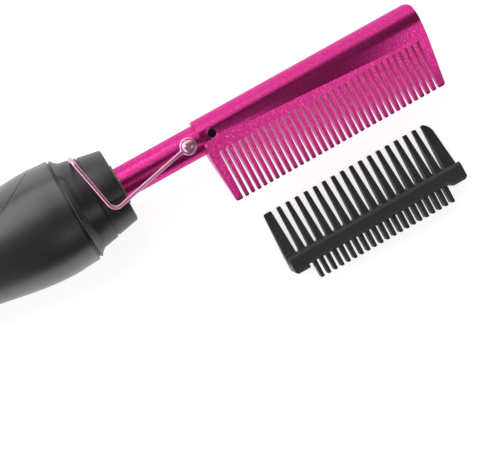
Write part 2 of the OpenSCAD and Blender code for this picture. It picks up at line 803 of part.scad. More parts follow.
module heater_leads() color(cream) placed()
  leads(board_front_x, heater_x, lead_at, lead_r);

bead_half_w = sensor_side + sensor_r + seat_fit;
module sensor_leads() color(cream) placed() {
  leads(board_front_x, heater_x - sensor_bead, sensor_at, sensor_r);
  block([heater_x - sensor_bead - join, sensor_y - sensor_bead / 2, -bead_half_w],
    [heater_x - join, sensor_y + sensor_bead / 2, bead_half_w]);
}

fuse_x = shoulder_x - fuse_back;
module thermal_fuse() color(steel) placed() translate([0, lead_at[1][0], lead_at[1][1]])
  pipe(fuse_x, fuse_x + fuse_len, lead_r + run_fit + fuse_wall, lead_r + run_fit);

module lead_terminal() color(cream) placed()
  block([terminal_x, terminal_low_y, -terminal_half_w],
    [board_front_x, board_under_y, terminal_half_w]);

mains_y = 1.3;
mains_cover = 0.8;
mains_rear_x = board_rear_x + 1;
mains_front_x = mains_rear_x + mains_terminal_len;
mains_half_w = mains_side + mains_r + mains_cover;
module mains_terminal() color(cream) placed()
  block([mains_rear_x, mains_y - mains_r - mains_cover, -mains_half_w],
    [mains_front_x, board_under_y, mains_half_w]);

module mains_leads() color(brass) placed()
  leads(contact_x + contact_len, mains_rear_x, [[mains_y, mains_side], [mains_y, -mains_side]], mains_r);

// ---------- comb head ----------

// Angle of the wedge's flanks, from two circles that they touch
tip_y = tooth_reach - tip_r;
flank = asin((spine_r - tip_r) / tip_y);
function flank_half(y) = spine_r / cos(flank) - y * tan(flank);

// The flanks start a hair inside both round edges
flank_tuck = 0.05;
module wedge() {
  spine_in = spine_r - flank_tuck;
  tip_in = tip_r - flank_tuck;
  multmatrix([[0, 0, 1, head_x - past], [-1, 0, 0, 0], [0, -1, 0, 0], [0, 0, 0, 1]])
    linear_extrude(head_len + 2 * past) polygon([
      [spine_in * sin(flank), spine_in * cos(flank)],
      [tip_y + tip_in * sin(flank), tip_in * cos(flank)],
      [tip_y + tip_in * sin(flank), -tip_in * cos(flank)],
      [spine_in * sin(flank), -spine_in * cos(flank)]
    ]);
}

first_slot_x = head_x + (head_len - (slot_count - 1) * tooth_pitch) / 2;
corner_r = 2.4;
corner_over = 0.25;
taper_y = tooth_root;
far_spine = spine_r + past;
far_tip = tooth_reach + past;

// Outline of the head seen from the side, as [x, -y]
module head_outline() difference() {
  polygon([
    [head_x, -far_spine], [head_end_x, -far_spine], [head_end_x, taper_y],
    [head_end_x - end_taper, far_tip], [head_x + end_taper, far_tip], [head_x, taper_y]
  ]);
  difference() {
    translate([head_end_x - corner_r, -far_spine - past]) square([corner_r + past, corner_r + 2 * past]);
    translate([head_end_x - corner_r, corner_r - spine_r]) circle(corner_r + corner_over);
  }
}

module comb_head() color(pink) placed() difference() {
  intersection() {
    union() {
      rod(head_x - past, head_end_x + past, spine_r);
      translate([0, -tip_y, 0]) rod(head_x - past, head_end_x + past, tip_r);
      wedge();
    }
    mirror([0, 1, 0]) translate([0, 0, -far_spine]) linear_extrude(2 * far_spine) head_outline();
  }
  rod(head_x - past, head_x + socket_depth, barrel_r + run_fit);
  rod(head_x, bore_end_x, heater_bore_r);
  for (i = [0:slot_count - 1])
    block([first_slot_x + i * tooth_pitch - slot_w / 2, -far_tip, -far_spine],
      [first_slot_x + i * tooth_pitch + slot_w / 2, -tooth_root, far_spine]);
  translate([set_screw_x, 0, 0]) cylinder(h = far_spine, r = set_screw_r + run_fit);
}

set_screw_low = barrel_in_r - 0.5;
set_screw_sink = 1.1;
set_screw_top = spine_r - set_screw_sink;
hex_depth = 0.9;
hex_r = set_screw_r / 2;
module set_screw() color(steel) placed() difference() {
  translate([set_screw_x, 0, set_screw_low]) cylinder(h = set_screw_top - set_screw_low, r = set_screw_r);
  translate([set_screw_x, 0, set_screw_top - hex_depth]) cylinder(h = hex_depth + past, r = hex_r, $fn = 6);
}

// ---------- wire stand ----------

// The straight runs reach a little way into the bends, which are a hair thicker
bend_tuck = 0.25;
bend_over = 0.03;

wire_r = wire_d / 2;
// The tool lies on the flat of its bulb and on the side of the stand
stand_half_w = axis_z - stand_inset - wire_r - bend_over;
eye_z = barrel_r + seat_fit + wire_r;
ring_r = eye_r + wire_r;
corner_at = [-corner_back, -corner_drop, stand_half_w];
top_at = [-crossbar_back, crossbar_y, stand_half_w];
arm_dir = [corner_at[0] - pivot_x, corner_at[1]];
arm_start = [pivot_x + ring_r * arm_dir[0] / norm(arm_dir), ring_r * arm_dir[1] / norm(arm_dir), eye_z];
function flip(p) = [p[0], p[1], -p[2]];
wire_path = [arm_start, corner_at, top_at, flip(top_at), flip(corner_at), flip(arm_start)];

function unit(v) = v / norm(v);
function turn_at(p, i) = acos(unit(p[i] - p[i - 1]) * unit(p[i + 1] - p[i]));
function cut_at(p, i) = (i == 0 || i == len(p) - 1) ? 0 : bend_r * tan(turn_at(p, i) / 2);

// A round bar between two points
module bar(a, b, r) {
  d = unit(b - a);
  side = unit(cross(d, abs(d[0]) < 0.9 ? [1, 0, 0] : [0, 1, 0]));
  up = cross(d, side);
  multmatrix([
    [side[0], up[0], d[0], a[0]],
    [side[1], up[1], d[1], a[1]],
    [side[2], up[2], d[2], a[2]],
    [0, 0, 0, 1]
  ]) cylinder(h = norm(b - a), r = r);
}

// The bend at point i of a path, as part of a ring
module bend(p, i, r) {
  d1 = unit(p[i] - p[i - 1]);
  d2 = unit(p[i + 1] - p[i]);
  inward = unit(d2 - (d1 * d2) * d1);
  start = p[i] - cut_at(p, i) * d1;
  centre = start + bend_r * inward;
  axis = cross(-inward, d1);
  multmatrix([
    [-inward[0], d1[0], axis[0], centre[0]],
    [-inward[1], d1[1], axis[1], centre[1]],
    [-inward[2], d1[2], axis[2], centre[2]],
    [0, 0, 0, 1]
  ]) rotate_extrude(angle = turn_at(p, i)) translate([bend_r, 0]) circle(r);
}

function run_cut(i) = cut_at(wire_path, i) - (cut_at(wire_path, i) > 0 ? bend_tuck : 0);
module stand_wire() color(wire_pink) placed() {
  for (side = [-1, 1]) translate([pivot_x, 0, side * eye_z])
    rotate_extrude() translate([ring_r, 0]) circle(wire_r);
  for (i = [0:len(wire_path) - 2]) {
    d = unit(wire_path[i + 1] - wire_path[i]);
    bar(wire_path[i] + run_cut(i) * d, wire_path[i + 1] - run_cut(i + 1) * d, wire_r);
  }
  for (i = [1:len(wire_path) - 2]) bend(wire_path, i, wire_r + bend_over);
}

stand_head_r = ring_r + 0.15;
stand_head_slope = 0.4;
stand_head_h = 1.1;
stand_tip_room = 0.2;
stand_cross_depth = 0.7;
stand_cross_turn = 20;
stand_head_z = eye_z + wire_r + seat_fit;
module stand_screws() color(wire_pink) placed() for (side = [0, 1]) mirror([0, 0, side])
  translate([pivot_x, 0, 0]) difference() {
    union() {
      translate([0, 0, sleeve_in_r + stand_tip_room])
        cylinder(h = spot_z - sleeve_in_r, r = stand_thread_r);
      translate([0, 0, spot_z]) cylinder(h = stand_head_z - spot_z + join, r = shoulder_screw_r);
      translate([0, 0, stand_head_z])
        cylinder(h = stand_head_h, r1 = stand_head_r, r2 = stand_head_r - stand_head_slope);
    }
    for (a = [0, 90]) rotate([0, 0, a + stand_cross_turn])
      block([-cross_len / 2, -cross_w / 2, stand_head_z + stand_head_h - stand_cross_depth],
        [cross_len / 2, cross_w / 2, stand_head_z + stand_head_h + past]);
  }

// ---------- tail ----------

cap_steps = 6;
cap_spigot_r = tail_r - shell_wall - seat_fit;
cap_spigot_wall = 1.6;
spigot_in_r = cap_spigot_r - cap_spigot_wall;
spigot_end_x = tail_x + cap_spigot_len;
neck_len = 4;
neck_in_x = tail_x + neck_len;
gland_clip_x = tail_x + seat_fit;
gland_groove_depth = 0.6;
gland_groove_r = swivel_r - gland_groove_depth;
gland_edge = 1;
pin_len = 4.6;
pin_r = 1;
ring_len = 2;
ring_out_r = 4.4;
ring_in_r = 3.4;
finger_t = 0.4;

module tail_cap() color(black_hard) placed() difference() {
  turned() polygon(concat(
    [[0, cap_end_x]],
    [for (i = [0:cap_steps]) let (t = i / cap_steps)
      [tail_cap_end_r + (tail_r - tail_cap_end_r) * sin(90 * t), cap_end_x + tail_cap_len * t]],
    [[cap_spigot_r, tail_x], [cap_spigot_r, spigot_end_x], [0, spigot_end_x]]
  ));
  rod(cap_end_x - past, spigot_end_x + past, swivel_r + run_fit);
  rod(tail_x, spigot_end_x + past, spigot_in_r);
  block([tail_x, cover_in_y - seat_fit, -bulb_r], [spigot_end_x + past, bulb_r, bulb_r]);
  block([cap_end_x - past, facet_y, -bulb_r], [spigot_end_x + past, bulb_r, bulb_r]);
}

module cord_gland() color(black_hard) placed() difference() {
  union() {
    rod(gland_end_x + gland_edge, cap_end_x - shadow_gap, gland_r);
    translate([gland_end_x, 0, 0]) rotate([0, 90, 0])
      cylinder(h = gland_edge, r1 = gland_r - gland_edge, r2 = gland_r);
    rod(cap_end_x - shadow_gap - join, neck_in_x, swivel_r);
  }
  difference() {
    rod(gland_clip_x, gland_clip_x + gland_clip_t + run_fit, swivel_r + past);
    rod(gland_clip_x - past, gland_clip_x + gland_clip_t + past, gland_groove_r);
  }
  rod(gland_end_x - past, gland_end_x + cord_bore_depth, cord_bore_r);
}

module gland_clip() color(steel) placed()
  pipe(gland_clip_x, gland_clip_x + gland_clip_t, spigot_in_r - loose_gap, gland_groove_r + run_fit);

module gland_contacts() color(brass) placed() {
  rod(neck_in_x, neck_in_x + pin_len, pin_r);
  pipe(neck_in_x, neck_in_x + ring_len, ring_out_r, ring_in_r);
}

module contact_block() color(cream) placed()
  block([contact_x, -contact_half_h, -contact_half_w],
    [contact_x + contact_len, contact_half_h, contact_half_w]);

module contact_fingers() color(brass) placed() {
  block([neck_in_x + loose_gap, -pin_r, pin_r + seat_fit], [contact_x, pin_r, pin_r + seat_fit + finger_t]);
  block([neck_in_x + loose_gap, -pin_r, ring_out_r + seat_fit],
    [contact_x, pin_r, ring_out_r + seat_fit + finger_t]);
}

// ---------- tooth guard ----------

// v runs from the trough floor towards the prong tips, w from the comb's middle plane upwards
guard_x = head_x + head_len / 2 - guard_len / 2;
rib_low = 1.4;
band_low = 2.7;
first_gap = guard_len / 2 - (gap_count - 1) * prong_pitch / 2;
first_short = guard_len / 2 - (short_count - 1) * short_pitch / 2;
prong_lean = 0.8;
guard_corner = 5.2;
corner_x = guard_len - 0.9 * prong_lean - guard_corner;
corner_v = prong_reach - 4.3;
short_half_depth = 2.4;
lip_out = lip_inner + lip_wall;
lip_chamfer = 1;
back_chamfer = 2;
foot_chamfer = 1;
foot_low_x = guard_len - foot_len;
far_prong = prong_reach + past;
far_back = guard_back + past;
gap_root_half = 0.43 * gap_w;
gap_tip_half = 0.57 * gap_w;
function seat_half(v) = flank_half(tooth_reach + loose_gap - v) + loose_gap / cos(flank);

module guard_section() polygon([
  [-band_low, -guard_back + back_chamfer], [-band_low + back_chamfer, -guard_back],
  [prong_reach, -guard_back],
  [prong_reach, -seat_half(prong_reach)], [0, -seat_half(0)], [0, lip_inner],
  [trough_depth, lip_inner], [trough_depth, lip_out - lip_chamfer], [trough_depth - lip_chamfer, lip_out],
  [-rib_low, lip_out], [-band_low, lip_out - rib_low]
]);

module foot_section() polygon([
  [-foot_reach, -guard_back + foot_chamfer], [-foot_reach + foot_chamfer, -guard_back], [0, -guard_back],
  [0, lip_out], [-foot_reach + foot_chamfer, lip_out], [-foot_reach, lip_out - foot_chamfer]
]);

// Draws a [v, w] section along the guard, from x0 to x1
module along_guard(x0, x1) translate([x0, 0, 0])
  multmatrix([[0, 0, 1, 0], [1, 0, 0, 0], [0, 1, 0, 0], [0, 0, 0, 1]]) linear_extrude(x1 - x0) children();

module guard_outline() difference() {
  polygon([
    [0, -foot_reach - past], [guard_len, -foot_reach - past], [guard_len, trough_depth],
    [guard_len - prong_lean, far_prong], [prong_lean, far_prong], [0, trough_depth]
  ]);
  difference() {
    translate([corner_x, corner_v]) square(guard_corner + 2 * past);
    translate([corner_x, corner_v]) circle(guard_corner);
  }
}

module tooth_guard() color(black_soft) placed()
  translate([guard_x, guard_rest_y, -guard_lift]) {
    difference() {
      intersection() {
        union() {
          along_guard(0, guard_len) guard_section();
          along_guard(0, foot_len) foot_section();
          along_guard(foot_low_x, guard_len) foot_section();
        }
        translate([0, 0, -far_back]) linear_extrude(far_back + lip_out + past) guard_outline();
      }
      for (i = [0:gap_count - 1]) translate([first_gap + i * prong_pitch, 0, -far_back]) {
        linear_extrude(far_back) polygon([
          [-gap_root_half, trough_depth], [gap_root_half, trough_depth],
          [gap_tip_half, far_prong], [-gap_tip_half, far_prong]
        ]);
        translate([0, trough_depth, 0]) cylinder(h = far_back, r = gap_root_half);
      }
    }
    for (i = [0:short_count - 1]) translate([first_short + i * short_pitch, 0, 0])
      block([-short_w / 2, -short_reach, -short_half_depth], [short_w / 2, -rib_low, short_half_depth]);
  }

// ---------- the parts ----------

handle_body();
top_cover();
control_plate();
display_window();
display_module();
power_button();
minus_button();
plus_button();
button_switches();
circuit_board();
film_capacitor();
heat_plate();
board_screws();
shell_screws();
screw_plugs();
collar();
nose_cap();
barrel_bush();
barrel_clip();
nose_screws();
nose_gasket();
barrel();
barrel_liner();
pivot_sleeve();
lead_spacer();
heater_cartridge();
heater_leads();
sensor_leads();
thermal_fuse();
lead_terminal();
mains_terminal();
mains_leads();
comb_head();
set_screw();
stand_wire();
stand_screws();
tail_cap();
cord_gland();
gland_clip();
gland_contacts();
contact_block();
contact_fingers();
tooth_guard();
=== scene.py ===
"""Electric hot comb with a folding wire stand and a slip-on tooth guard.

Every piece is modelled in millimetres on the tool's own axes, with x = 0 at the nose face, y
towards the spine and z upwards, and is then placed in the frame in metres.
"""

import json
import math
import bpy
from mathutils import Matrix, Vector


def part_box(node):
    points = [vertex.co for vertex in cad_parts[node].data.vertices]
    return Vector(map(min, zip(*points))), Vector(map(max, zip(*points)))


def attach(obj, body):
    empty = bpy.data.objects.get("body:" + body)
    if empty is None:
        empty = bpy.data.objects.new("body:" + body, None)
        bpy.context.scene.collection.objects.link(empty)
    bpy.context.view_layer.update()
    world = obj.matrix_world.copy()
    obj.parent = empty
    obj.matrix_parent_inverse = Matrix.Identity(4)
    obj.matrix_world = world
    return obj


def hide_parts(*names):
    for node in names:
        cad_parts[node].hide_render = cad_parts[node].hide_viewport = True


bl_info = {
    "name": "Hot Comb",
    "version": (1, 0, 0),
    "blender": (4, 5, 0),
    "location": "View3D > Sidebar > Hot Comb",
    "description": "Models an electric hot comb round its construction frame",
    "category": "Add Mesh",
}

import bpy
from bpy.props import FloatProperty, FloatVectorProperty, IntProperty, PointerProperty
from bpy.types import Operator, Panel, PropertyGroup
from mathutils import Matrix, Vector

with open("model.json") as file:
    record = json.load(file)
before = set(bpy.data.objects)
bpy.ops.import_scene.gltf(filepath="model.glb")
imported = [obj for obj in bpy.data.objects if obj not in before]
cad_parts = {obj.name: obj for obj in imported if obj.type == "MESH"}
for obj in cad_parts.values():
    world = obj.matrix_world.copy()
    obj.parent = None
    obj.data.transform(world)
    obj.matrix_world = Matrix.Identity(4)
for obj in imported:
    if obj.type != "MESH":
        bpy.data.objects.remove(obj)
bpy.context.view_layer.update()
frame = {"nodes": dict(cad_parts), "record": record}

MM = 0.001
FULL_TURN = 2 * math.pi
PAST = 1.0

NOSE_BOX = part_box("nose_cap")
BARREL_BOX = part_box("barrel")
ORIGIN = Vector((
    NOSE_BOX[1][0],
    (BARREL_BOX[0][1] + BARREL_BOX[1][1]) / 2,
    (BARREL_BOX[0][2] + BARREL_BOX[1][2]) / 2,
))


def node_low(node):
    """A node's lowest corner in millimetres on the tool's axes."""
    return (Vector(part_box(node)[0]) - ORIGIN) / MM


def node_high(node):
    """A node's highest corner in millimetres on the tool's axes."""
    return (Vector(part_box(node)[1]) - ORIGIN) / MM


TAIL_X = node_low("handle_body").x
SHOULDER_X = node_high("handle_body").x
COLLAR_X = node_high("collar").x
HEAD_X = node_low("comb_head").x
HEAD_END_X = node_high("comb_head").x
CAP_END_X = node_low("tail_cap").x
GLAND_END_X = node_low("cord_gland").x
PIVOT_X = (node_low("stand_screws").x + node_high("stand_screws").x) / 2
FLAT_Z = node_high("handle_body").z
FACET_Y = node_high("control_plate").y


# ---------- what a user would change ----------


def length(label, millimetres, about):
    """A length property with its default given in millimetres."""
    return FloatProperty(
        name=label, description=about, default=millimetres * MM, min=0, unit="LENGTH", precision=5)


def colour(label, value, about):
    """A linear colour property."""
    return FloatVectorProperty(
        name=label, description=about, default=value, size=3, min=0, max=1, subtype="COLOR")


class HotCombGripSizes(PropertyGroup):
    """Sizes of the handle, the collar and the nose."""

    shoulder_radius: length("Shoulder radius", 19.5, "Handle radius where it meets the collar")
    crest_radius: length("Crest radius", 20, "Handle radius at the crest of the bulb")
    waist_radius: length("Waist radius", 13.8, "Handle radius at the waist")
    belly_radius: length("Belly radius", 15.4, "Handle radius at the belly")
    tail_radius: length("Tail radius", 13, "Handle radius at the tail")
    crest_back: length("Crest back", 9.7, "Distance from the shoulder back to the crest")
    waist_back: length("Waist back", 58, "Distance from the shoulder back to the waist")
    belly_ahead: length("Belly ahead", 36, "Distance from the tail forward to the belly")
    wall: length("Shell wall", 2.3, "Wall of the handle shells")
    ramp_back: length("Ramp back", 41.6, "Distance from the shoulder back to the foot of the ramp")
    parting_back: length("Parting back", 31.7, "Distance from the shoulder back to the parting's foot")
    parting_height: length("Parting height", 3.3, "Height of the level parting line")
    seam_gap: length("Seam gap", 0.16, "Gap between the two handle shells")
    edge_round: length("Edge round", 0.45, "Rounding of the shells' edges")
    collar_root_radius: length("Collar root", 19, "Collar radius at the shoulder")
    collar_neck_radius: length("Collar neck", 16.6, "Collar radius at the end of its sweep")
    collar_front_radius: length("Collar front", 15.7, "Collar radius at its front edge")
    nose_root_radius: length("Nose root", 15.3, "Nose cap radius at its root")
    nose_face_radius: length("Nose face", 13.9, "Nose cap radius at its face")
    nose_edge: length("Nose edge", 1.0, "Radius of the nose cap's rounded edge")


class HotCombHeadSizes(PropertyGroup):
    """Sizes of the comb head, the stand and the guard."""

    barrel_radius: length("Barrel radius", 5.8, "Outer radius of the barrel")
    spine_radius: length("Spine radius", 7, "Radius of the round spine")
    tooth_reach: length("Tooth reach", 25.5, "Distance from the axis to the tooth tips")
    tip_radius: length("Tip radius", 1, "Radius of the tooth tips")
    tooth_root: length("Tooth root", 6.7, "Distance from the axis to the tooth roots")
    tooth_pitch: length("Tooth pitch", 2.49, "Pitch of the teeth")
    slot_width: length("Slot width", 1.1, "Width of a slot between two teeth")
    slots: IntProperty(name="Slots", description="Number of slots", default=33, min=1)
    end_taper: length("End taper", 1.2, "How far each end plate narrows towards the tips")
    head_edge: length("Head edge", 0.26, "Rounding of the comb head's edges")
    wire_radius: length("Wire radius", 0.7, "Radius of the stand's wire")
    eye_radius: length("Eye radius", 2.45, "Radius of the eye's middle line")
    bend_radius: length("Bend radius", 3, "Radius of the stand's bends")
    corner_back: length("Corner back", 6, "Distance from the nose face to the lower corners")
    corner_drop: length("Corner drop", 6.8, "Distance of the lower corners below the axis")
    crossbar_back: length("Crossbar back", 10.5, "Distance from the nose face to the crossbar")
    prong_reach: length("Prong reach", 20.2, "Reach of the long prongs")
    prong_pitch: length("Prong pitch", 3.88, "Pitch of the long prongs")
    prong_gap: length("Prong gap", 1.9, "Width of a gap between two long prongs")
    gaps: IntProperty(name="Gaps", description="Gaps between the long prongs", default=17, min=1)
    short_pitch: length("Short pitch", 2.777, "Pitch of the short prongs")
    short_width: length("Short width", 1.6, "Width of a short prong")
    shorts: IntProperty(name="Short prongs", description="Number of short prongs", default=21, min=1)
    guard_edge: length("Guard edge", 0.28, "Rounding of the guard's edges")
    tooth_end: length("Tooth end", 0.45, "Rounding of a tooth's end, seen from the side")
    prong_end: length("Prong end", 0.4, "Rounding of a long prong's end")


class HotCombFinishes(PropertyGroup):
    """Colours of the finishes and the size of their detail."""

    soft_black: colour("Soft black", (0.007, 0.007, 0.0074), "Soft-touch coat of the handle")
    hard_black: colour("Hard black", (0.012, 0.012, 0.0125), "Satin plastic of collar and nose")
    paint: colour("Comb coat", (0.68, 0.036, 0.26), "Sparkling coat of barrel and comb")
    paint_deep: colour("Comb coat, deep", (0.42, 0.022, 0.17), "The dark flakes of that coat")
    # Painted glints: a brighter colour given to random flakes, in place of flakes that catch the light
    paint_glint: colour("Comb coat, spark", (0.90, 0.20, 0.52), "The bright flakes of that coat")
    wire: colour("Wire", (0.86, 0.40, 0.60), "Rose-silver coat of the wire stand")
    gasket: colour("Gasket", (0.36, 0.30, 0.16), "Olive silicone at the nose face")
    silicone: colour("Silicone", (0.020, 0.020, 0.021), "Silicone of the tooth guard")
    flake: length("Flake size", 0.36, "Size of a flake in the comb's coat")


class HotCombStage(PropertyGroup):
    """The camera and the lamps."""

    aim_along: length("Aim along", 29.2, "Place that the camera looks at, ahead of the nose face")
    aim_below: length("Aim below", 35.3, "Place that the camera looks at, on the teeth's side")
    eye_behind: length("Camera behind", 6, "Place of the camera behind the nose face")
    eye_above: length("Camera above", 5, "Place of the camera on the spine's side")
    eye_height: length("Camera height", 450, "Height of the camera above the tool's axis")
    lens: FloatProperty(
        name="Lens", description="Focal length in millimetres", default=95.8, unit="CAMERA")
    rise: FloatProperty(
        name="Rise", description="How far the tool's axis rises in the picture",
        default=math.radians(29.4), subtype="ANGLE")
    grip_lamp: FloatProperty(
        name="Grip lamp", description="Radiance of the soft box over the grip", default=1.9, min=0)
    spine_lamp: FloatProperty(
        name="Spine lamp", description="Radiance of the soft box on the spine side", default=1.1, min=0)
    teeth_lamp: FloatProperty(
        name="Teeth lamp", description="Radiance of the soft box on the teeth side", default=1.75, min=0)
    tail_lamp: FloatProperty(
        name="Tail lamp", description="Radiance of the soft box behind the tail", default=2.8, min=0)
    sky_level: FloatProperty(
        name="Sky level", description="Strength of the world", default=0.08, min=0)


class Millimetres:
    """Reads a group's lengths in millimetres."""

    def __init__(self, group):
        self.group = group

    def __getattr__(self, name):
        value = getattr(self.group, name)
        return value / MM if isinstance(value, float) else value


def grip_sizes():
    return Millimetres(bpy.context.scene.hot_comb_grip)


def head_sizes():
    return Millimetres(bpy.context.scene.hot_comb_head)


# ---------- modelling steps ----------


def only(*objects):
    """Selects these objects and nothing else, the first one active."""
    bpy.ops.object.select_all(action="DESELECT")
    for each in objects:
        each.select_set(True)
    bpy.context.view_layer.objects.active = objects[0]


def in_edit_mode(piece, *steps):
    """Runs steps on the whole selected mesh in edit mode."""
    only(piece)
    bpy.ops.object.mode_set(mode="EDIT")
    bpy.ops.mesh.select_all(action="SELECT")
    for step in steps:
        step()
    bpy.ops.object.mode_set(mode="OBJECT")


def weld():
    """Merges doubles and turns the normals outwards."""
    bpy.ops.mesh.remove_doubles(threshold=0.0005)
    bpy.ops.mesh.normals_make_consistent(inside=False)


def outline(name, points, fill):
    """A closed outline of [x, y] points as one ring of edges or one face."""
    bpy.ops.object.select_all(action="DESELECT")
    bpy.ops.mesh.primitive_circle_add(vertices=len(points), radius=1, fill_type=fill)
    piece = bpy.context.object
    piece.name = name
    for corner, point in zip(piece.data.vertices, points):
        corner.co = (point[0], point[1], 0)
    return piece


def lathe(name, profile, steps=96):
    """Spins a closed profile of [radius, x] points round the tool's axis."""
    piece = outline(name, [(x, radius) for radius, x in profile], "NOTHING")
    in_edit_mode(
        piece,
        lambda: bpy.ops.mesh.spin(steps=steps, angle=FULL_TURN, center=(0, 0, 0), axis=(1, 0, 0)),
        weld,
    )
    return piece


TURNS = {
    "z": Matrix.Identity(4),
    "x": Matrix(((0, 0, 1, 0), (1, 0, 0, 0), (0, 1, 0, 0), (0, 0, 0, 1))),
    "y": Matrix(((1, 0, 0, 0), (0, 0, 1, 0), (0, 1, 0, 0), (0, 0, 0, 1))),
}


def prism(name, points, low, high, along="z"):
    """Extrudes an outline along an axis. Its points are [x, y] for z, [y, z] for x, [x, z] for y."""
    piece = outline(name, points, "NGON")
    grow = {"value": (0, 0, high - low)}
    in_edit_mode(piece, lambda: bpy.ops.mesh.extrude_region_move(TRANSFORM_OT_translate=grow))
    piece.data.transform(TURNS[along] @ Matrix.Translation((0, 0, low)))
    in_edit_mode(piece, weld)
    return piece


def rod(name, low, high, radius, along="z", at=(0, 0), sides=32):
    """A round rod between two planes, at a place given in the same order as prism's points."""
    ring = arc(at, radius, 0, FULL_TURN, sides)
    return prism(name, ring[:-1], low, high, along)


def slab(name, low, high):
    """A box given by its two corners."""
    bpy.ops.object.select_all(action="DESELECT")
    bpy.ops.mesh.primitive_cube_add(size=1)
    piece = bpy.context.object
    piece.name = name
    size = [b - a for a, b in zip(low, high)]
    middle = [(a + b) / 2 for a, b in zip(low, high)]
    piece.data.transform(Matrix.Translation(middle) @ Matrix.Diagonal((*size, 1)))
    return piece


def arc(centre, radius, start, end, steps):
    """Points along an arc, both ends included."""
    return [
        (centre[0] + radius * math.cos(start + (end - start) * i / steps),
         centre[1] + radius * math.sin(start + (end - start) * i / steps))
        for i in range(steps + 1)
    ]


def copy_of(piece, shift=(0, 0, 0)):
    """A copy with its own mesh, moved by shift."""
    other = piece.copy()
    other.data = piece.data.copy()
    other.data.transform(Matrix.Translation(shift))
    bpy.context.collection.objects.link(other)
    return other


def row_of(piece, count, step):
    """The piece and its copies along a row, as one object."""
    copies = [copy_of(piece, [i * part for part in step]) for i in range(1, count)]
    return joined(piece, *copies)


def joined(*pieces):
    """Makes one object of several."""
    only(*pieces)
    bpy.ops.object.join()
    return bpy.context.object


def combine(piece, tool, how):
    """Applies a boolean of tool to piece and deletes the tool."""
    change = piece.modifiers.new("combine", "BOOLEAN")
    change.operation = how
    change.solver = "EXACT"
    change.object = tool
    only(piece)
    bpy.ops.object.modifier_apply(modifier=change.name)
    used = tool.data
    bpy.data.objects.remove(tool)
    bpy.data.meshes.remove(used)
    return piece


def cut(piece, *tools):
    """Takes each tool out of the piece."""
    for tool in tools:
        combine(piece, tool, "DIFFERENCE")
    return piece


def soften(piece, width, segments=2, angle=32):
    """Shades by angle and rounds the edges."""
    only(piece)
    bpy.ops.object.shade_smooth_by_angle(angle=math.radians(angle))
    change = piece.modifiers.new("edge", "BEVEL")
    change.width = width
    change.segments = segments
    change.limit_method = "ANGLE"
    change.angle_limit = math.radians(angle)
    change.harden_normals = True
    change.use_clamp_overlap = True
    bpy.ops.object.modifier_apply(modifier=change.name)
    return piece


def smooth(piece, angle=32):
    """Shades by angle."""
    only(piece)
    bpy.ops.object.shade_smooth_by_angle(angle=math.radians(angle))
    return piece


def settle(piece, body, finish, *nodes):
    """Places a finished piece in the frame, gives it its finish and ties it to its body."""
    piece.data.transform(Matrix.Translation(ORIGIN) @ Matrix.Scale(MM, 4))
    piece.data.materials.clear()
    piece.data.materials.append(FINISHES[finish]())
    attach(piece, body)
    if nodes:
        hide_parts(*nodes)
    return piece


# ---------- materials ----------


class Value:
    """A number in a material. Operators on it add Math nodes."""

    def __init__(self, shader, socket):
        self.shader = shader
        self.socket = socket

    def maths(self, operation, *values):
        return self.shader.node("ShaderNodeMath", {"operation": operation}, dict(enumerate(values)))

    def __add__(self, other):
        return self.maths("ADD", self, other)

    def __radd__(self, other):
        return self.maths("ADD", other, self)

    def __sub__(self, other):
        return self.maths("SUBTRACT", self, other)

    def __rsub__(self, other):
        return self.maths("SUBTRACT", other, self)

    def __mul__(self, other):
        return self.maths("MULTIPLY", self, other)

    def __rmul__(self, other):
        return self.maths("MULTIPLY", other, self)


class Shader:
    """A node material that is being made."""

    def __init__(self, name):
        self.material = bpy.data.materials.new(name)
        self.material.use_nodes = True
        self.tree = self.material.node_tree
        self.tree.nodes.clear()
        self.place = self.node("ShaderNodeTexCoord", out="Object")

    def node(self, kind, settings=None, inputs=None, out=0):
        """Adds a node with its settings and its sockets' values or links, and returns one output."""
        made = self.tree.nodes.new(kind)
        for name, value in (settings or {}).items():
            setattr(made, name, value)
        for name, value in (inputs or {}).items():
            if isinstance(value, Value):
                self.tree.links.new(value.socket, made.inputs[name])
            else:
                made.inputs[name].default_value = value
        return Value(self, made.outputs[out]) if made.outputs else None

    def noise(self, size, detail=2.0, out="Fac"):
        """Noise whose lumps are about size millimetres."""
        return self.node("ShaderNodeTexNoise", None, {
            "Vector": self.place, "Scale": 1 / (size * MM), "Detail": detail}, out)

    def blend(self, share, first, second):
        """Mixes two colours."""
        return self.node("ShaderNodeMix", {"data_type": "RGBA"}, {0: share, 6: first, 7: second}, 2)

    def ramp(self, value, *stops):
        """A ramp of (place, level) stops."""
        out = self.node("ShaderNodeValToRGB", None, {0: value})
        elements = out.socket.node.color_ramp.elements
        while len(elements) < len(stops):
            elements.new(0.5)
        for element, (place, level) in zip(elements, stops):
            element.position = place
            element.color = (level, level, level, 1)
        return out

    def bump(self, height, depth, strength=1.0):
        """Normals from a height, depth millimetres deep."""
        return self.node("ShaderNodeBump", None, {
            "Height": height, "Distance": depth * MM, "Strength": strength})

    def surface(self, **inputs):
        """Ends the material in a Principled shader."""
        named = {name.replace("_", " "): value for name, value in inputs.items()}
        skin = self.node("ShaderNodeBsdfPrincipled", None, named)
        self.node("ShaderNodeOutputMaterial", None, {"Surface": skin})
        return self.material


def solid(value):
    """A colour with full alpha."""
    return (*value, 1)


def once(make):
    """Makes a material at its first use and keeps it."""
    kept = []

    def get():
        if not kept:
            kept.append(make())
        return kept[0]
    return get


def finish_colours():
    return bpy.context.scene.hot_comb_finishes


def shade(value, factor):
    """A colour made lighter or darker."""
    return tuple(min(part * factor, 1) for part in value)


